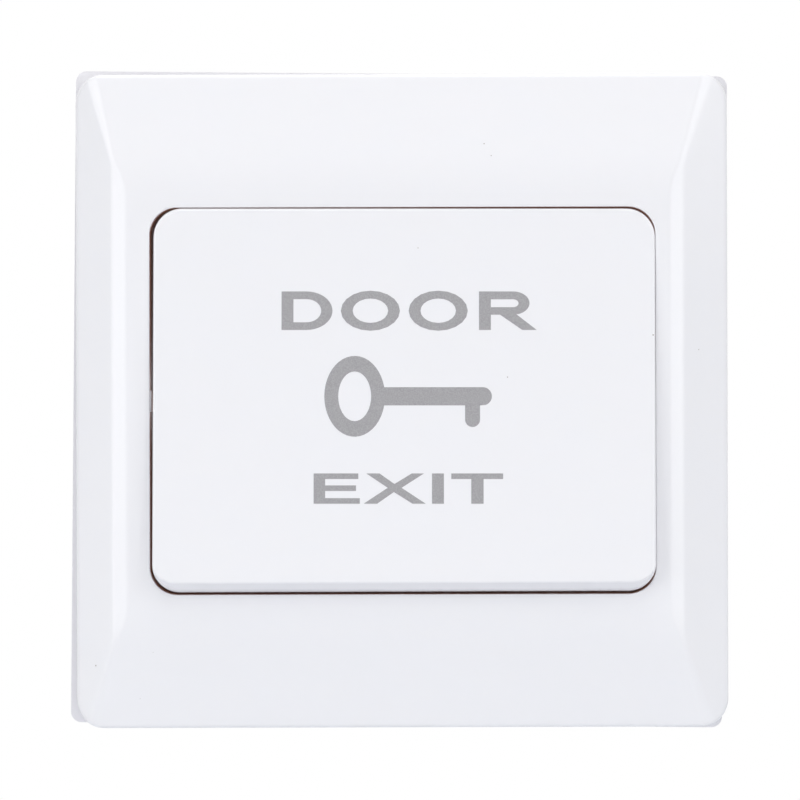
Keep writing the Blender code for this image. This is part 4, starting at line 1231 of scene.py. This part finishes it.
def makeCamera(v=studioValues):
    data = bpy.data.cameras.new("camera")
    data.sensor_width = v["sensor"]
    data.lens = v["focalPixels"] * v["sensor"] / v["imageWidth"]
    data.shift_x = -(v["objectPixel"][0] - v["imageWidth"] / 2) / v["imageWidth"]
    data.shift_y = (v["objectPixel"][1] - v["imageWidth"] / 2) / v["imageWidth"]
    data.clip_start = v["nearest"]
    camera = placed("camera", data)
    camera.location = (0.0, -v["cameraDistance"], 0.0)
    camera.rotation_euler = (math.pi / 2, 0.0, 0.0)
    bpy.context.scene.camera = camera


def makeLamps():
    for name, (right, up, distance, width, height, radiance) in lampValues.items():
        data = bpy.data.lights.new(name, "AREA")
        data.shape = "RECTANGLE"
        data.size = width
        data.size_y = height
        data.energy = radiance * math.pi * width * height
        across, rise = math.radians(right), math.radians(up)
        level = math.cos(rise)
        toLamp = Vector((math.sin(across) * level, -math.cos(across) * level, math.sin(rise)))
        lamp = placed(name, data)
        lamp.location = toLamp * distance
        lamp.rotation_mode = "QUATERNION"
        lamp.rotation_quaternion = toLamp.to_track_quat("Z", "Y")


def makeWorld(v=studioValues):
    # The camera, glossy and transmitted rays see plain white, and the fill lights the part
    world = bpy.data.worlds.new("studio")
    bpy.context.scene.world = world
    world.use_nodes = True
    nodes = world.node_tree.nodes
    nodes.clear()
    link = world.node_tree.links.new
    ray = nodes.new("ShaderNodeLightPath")
    seen = ray.outputs["Is Camera Ray"]
    for output in ("Is Glossy Ray", "Is Transmission Ray"):
        either = nodes.new("ShaderNodeMath")
        either.operation = "MAXIMUM"
        link(seen, either.inputs[0])
        link(ray.outputs[output], either.inputs[1])
        seen = either.outputs[0]
    fill = nodes.new("ShaderNodeBackground")
    fill.inputs["Color"].default_value = v["fillTint"]
    fill.inputs["Strength"].default_value = v["fill"]
    plain = nodes.new("ShaderNodeBackground")
    plain.inputs["Color"].default_value = white
    plain.inputs["Strength"].default_value = 1.0
    mix = nodes.new("ShaderNodeMixShader")
    out = nodes.new("ShaderNodeOutputWorld")
    link(seen, mix.inputs[0])
    link(fill.outputs[0], mix.inputs[1])
    link(plain.outputs[0], mix.inputs[2])
    link(mix.outputs[0], out.inputs["Surface"])


def makeFloor(v=floorValues):
    paint = Paint("paleFloor")
    paper = paint.noise(v["paperSize"], detail=3.0)
    colour = paint.mixColour(paper, *v["tints"])
    roughness = v["roughness"] + paper * v["roughnessSpread"]
    material = paint.finish({"Base Color": colour, "Roughness": roughness})
    level = cadLow.z - v["drop"]
    square = [(x * v["reach"], y * v["reach"], level) for x, y in ((-1, -1), (1, -1), (1, 1), (-1, 1))]
    mesh = bpy.data.meshes.new("floor")
    mesh.from_pydata(square, [], [(0, 1, 2, 3)])
    mesh.materials.append(material)
    floor = placed("floor", mesh)


makeCamera()
makeLamps()
makeWorld()
makeFloor()
bpy.context.scene.view_settings.view_transform = "Standard"
print("studio made")
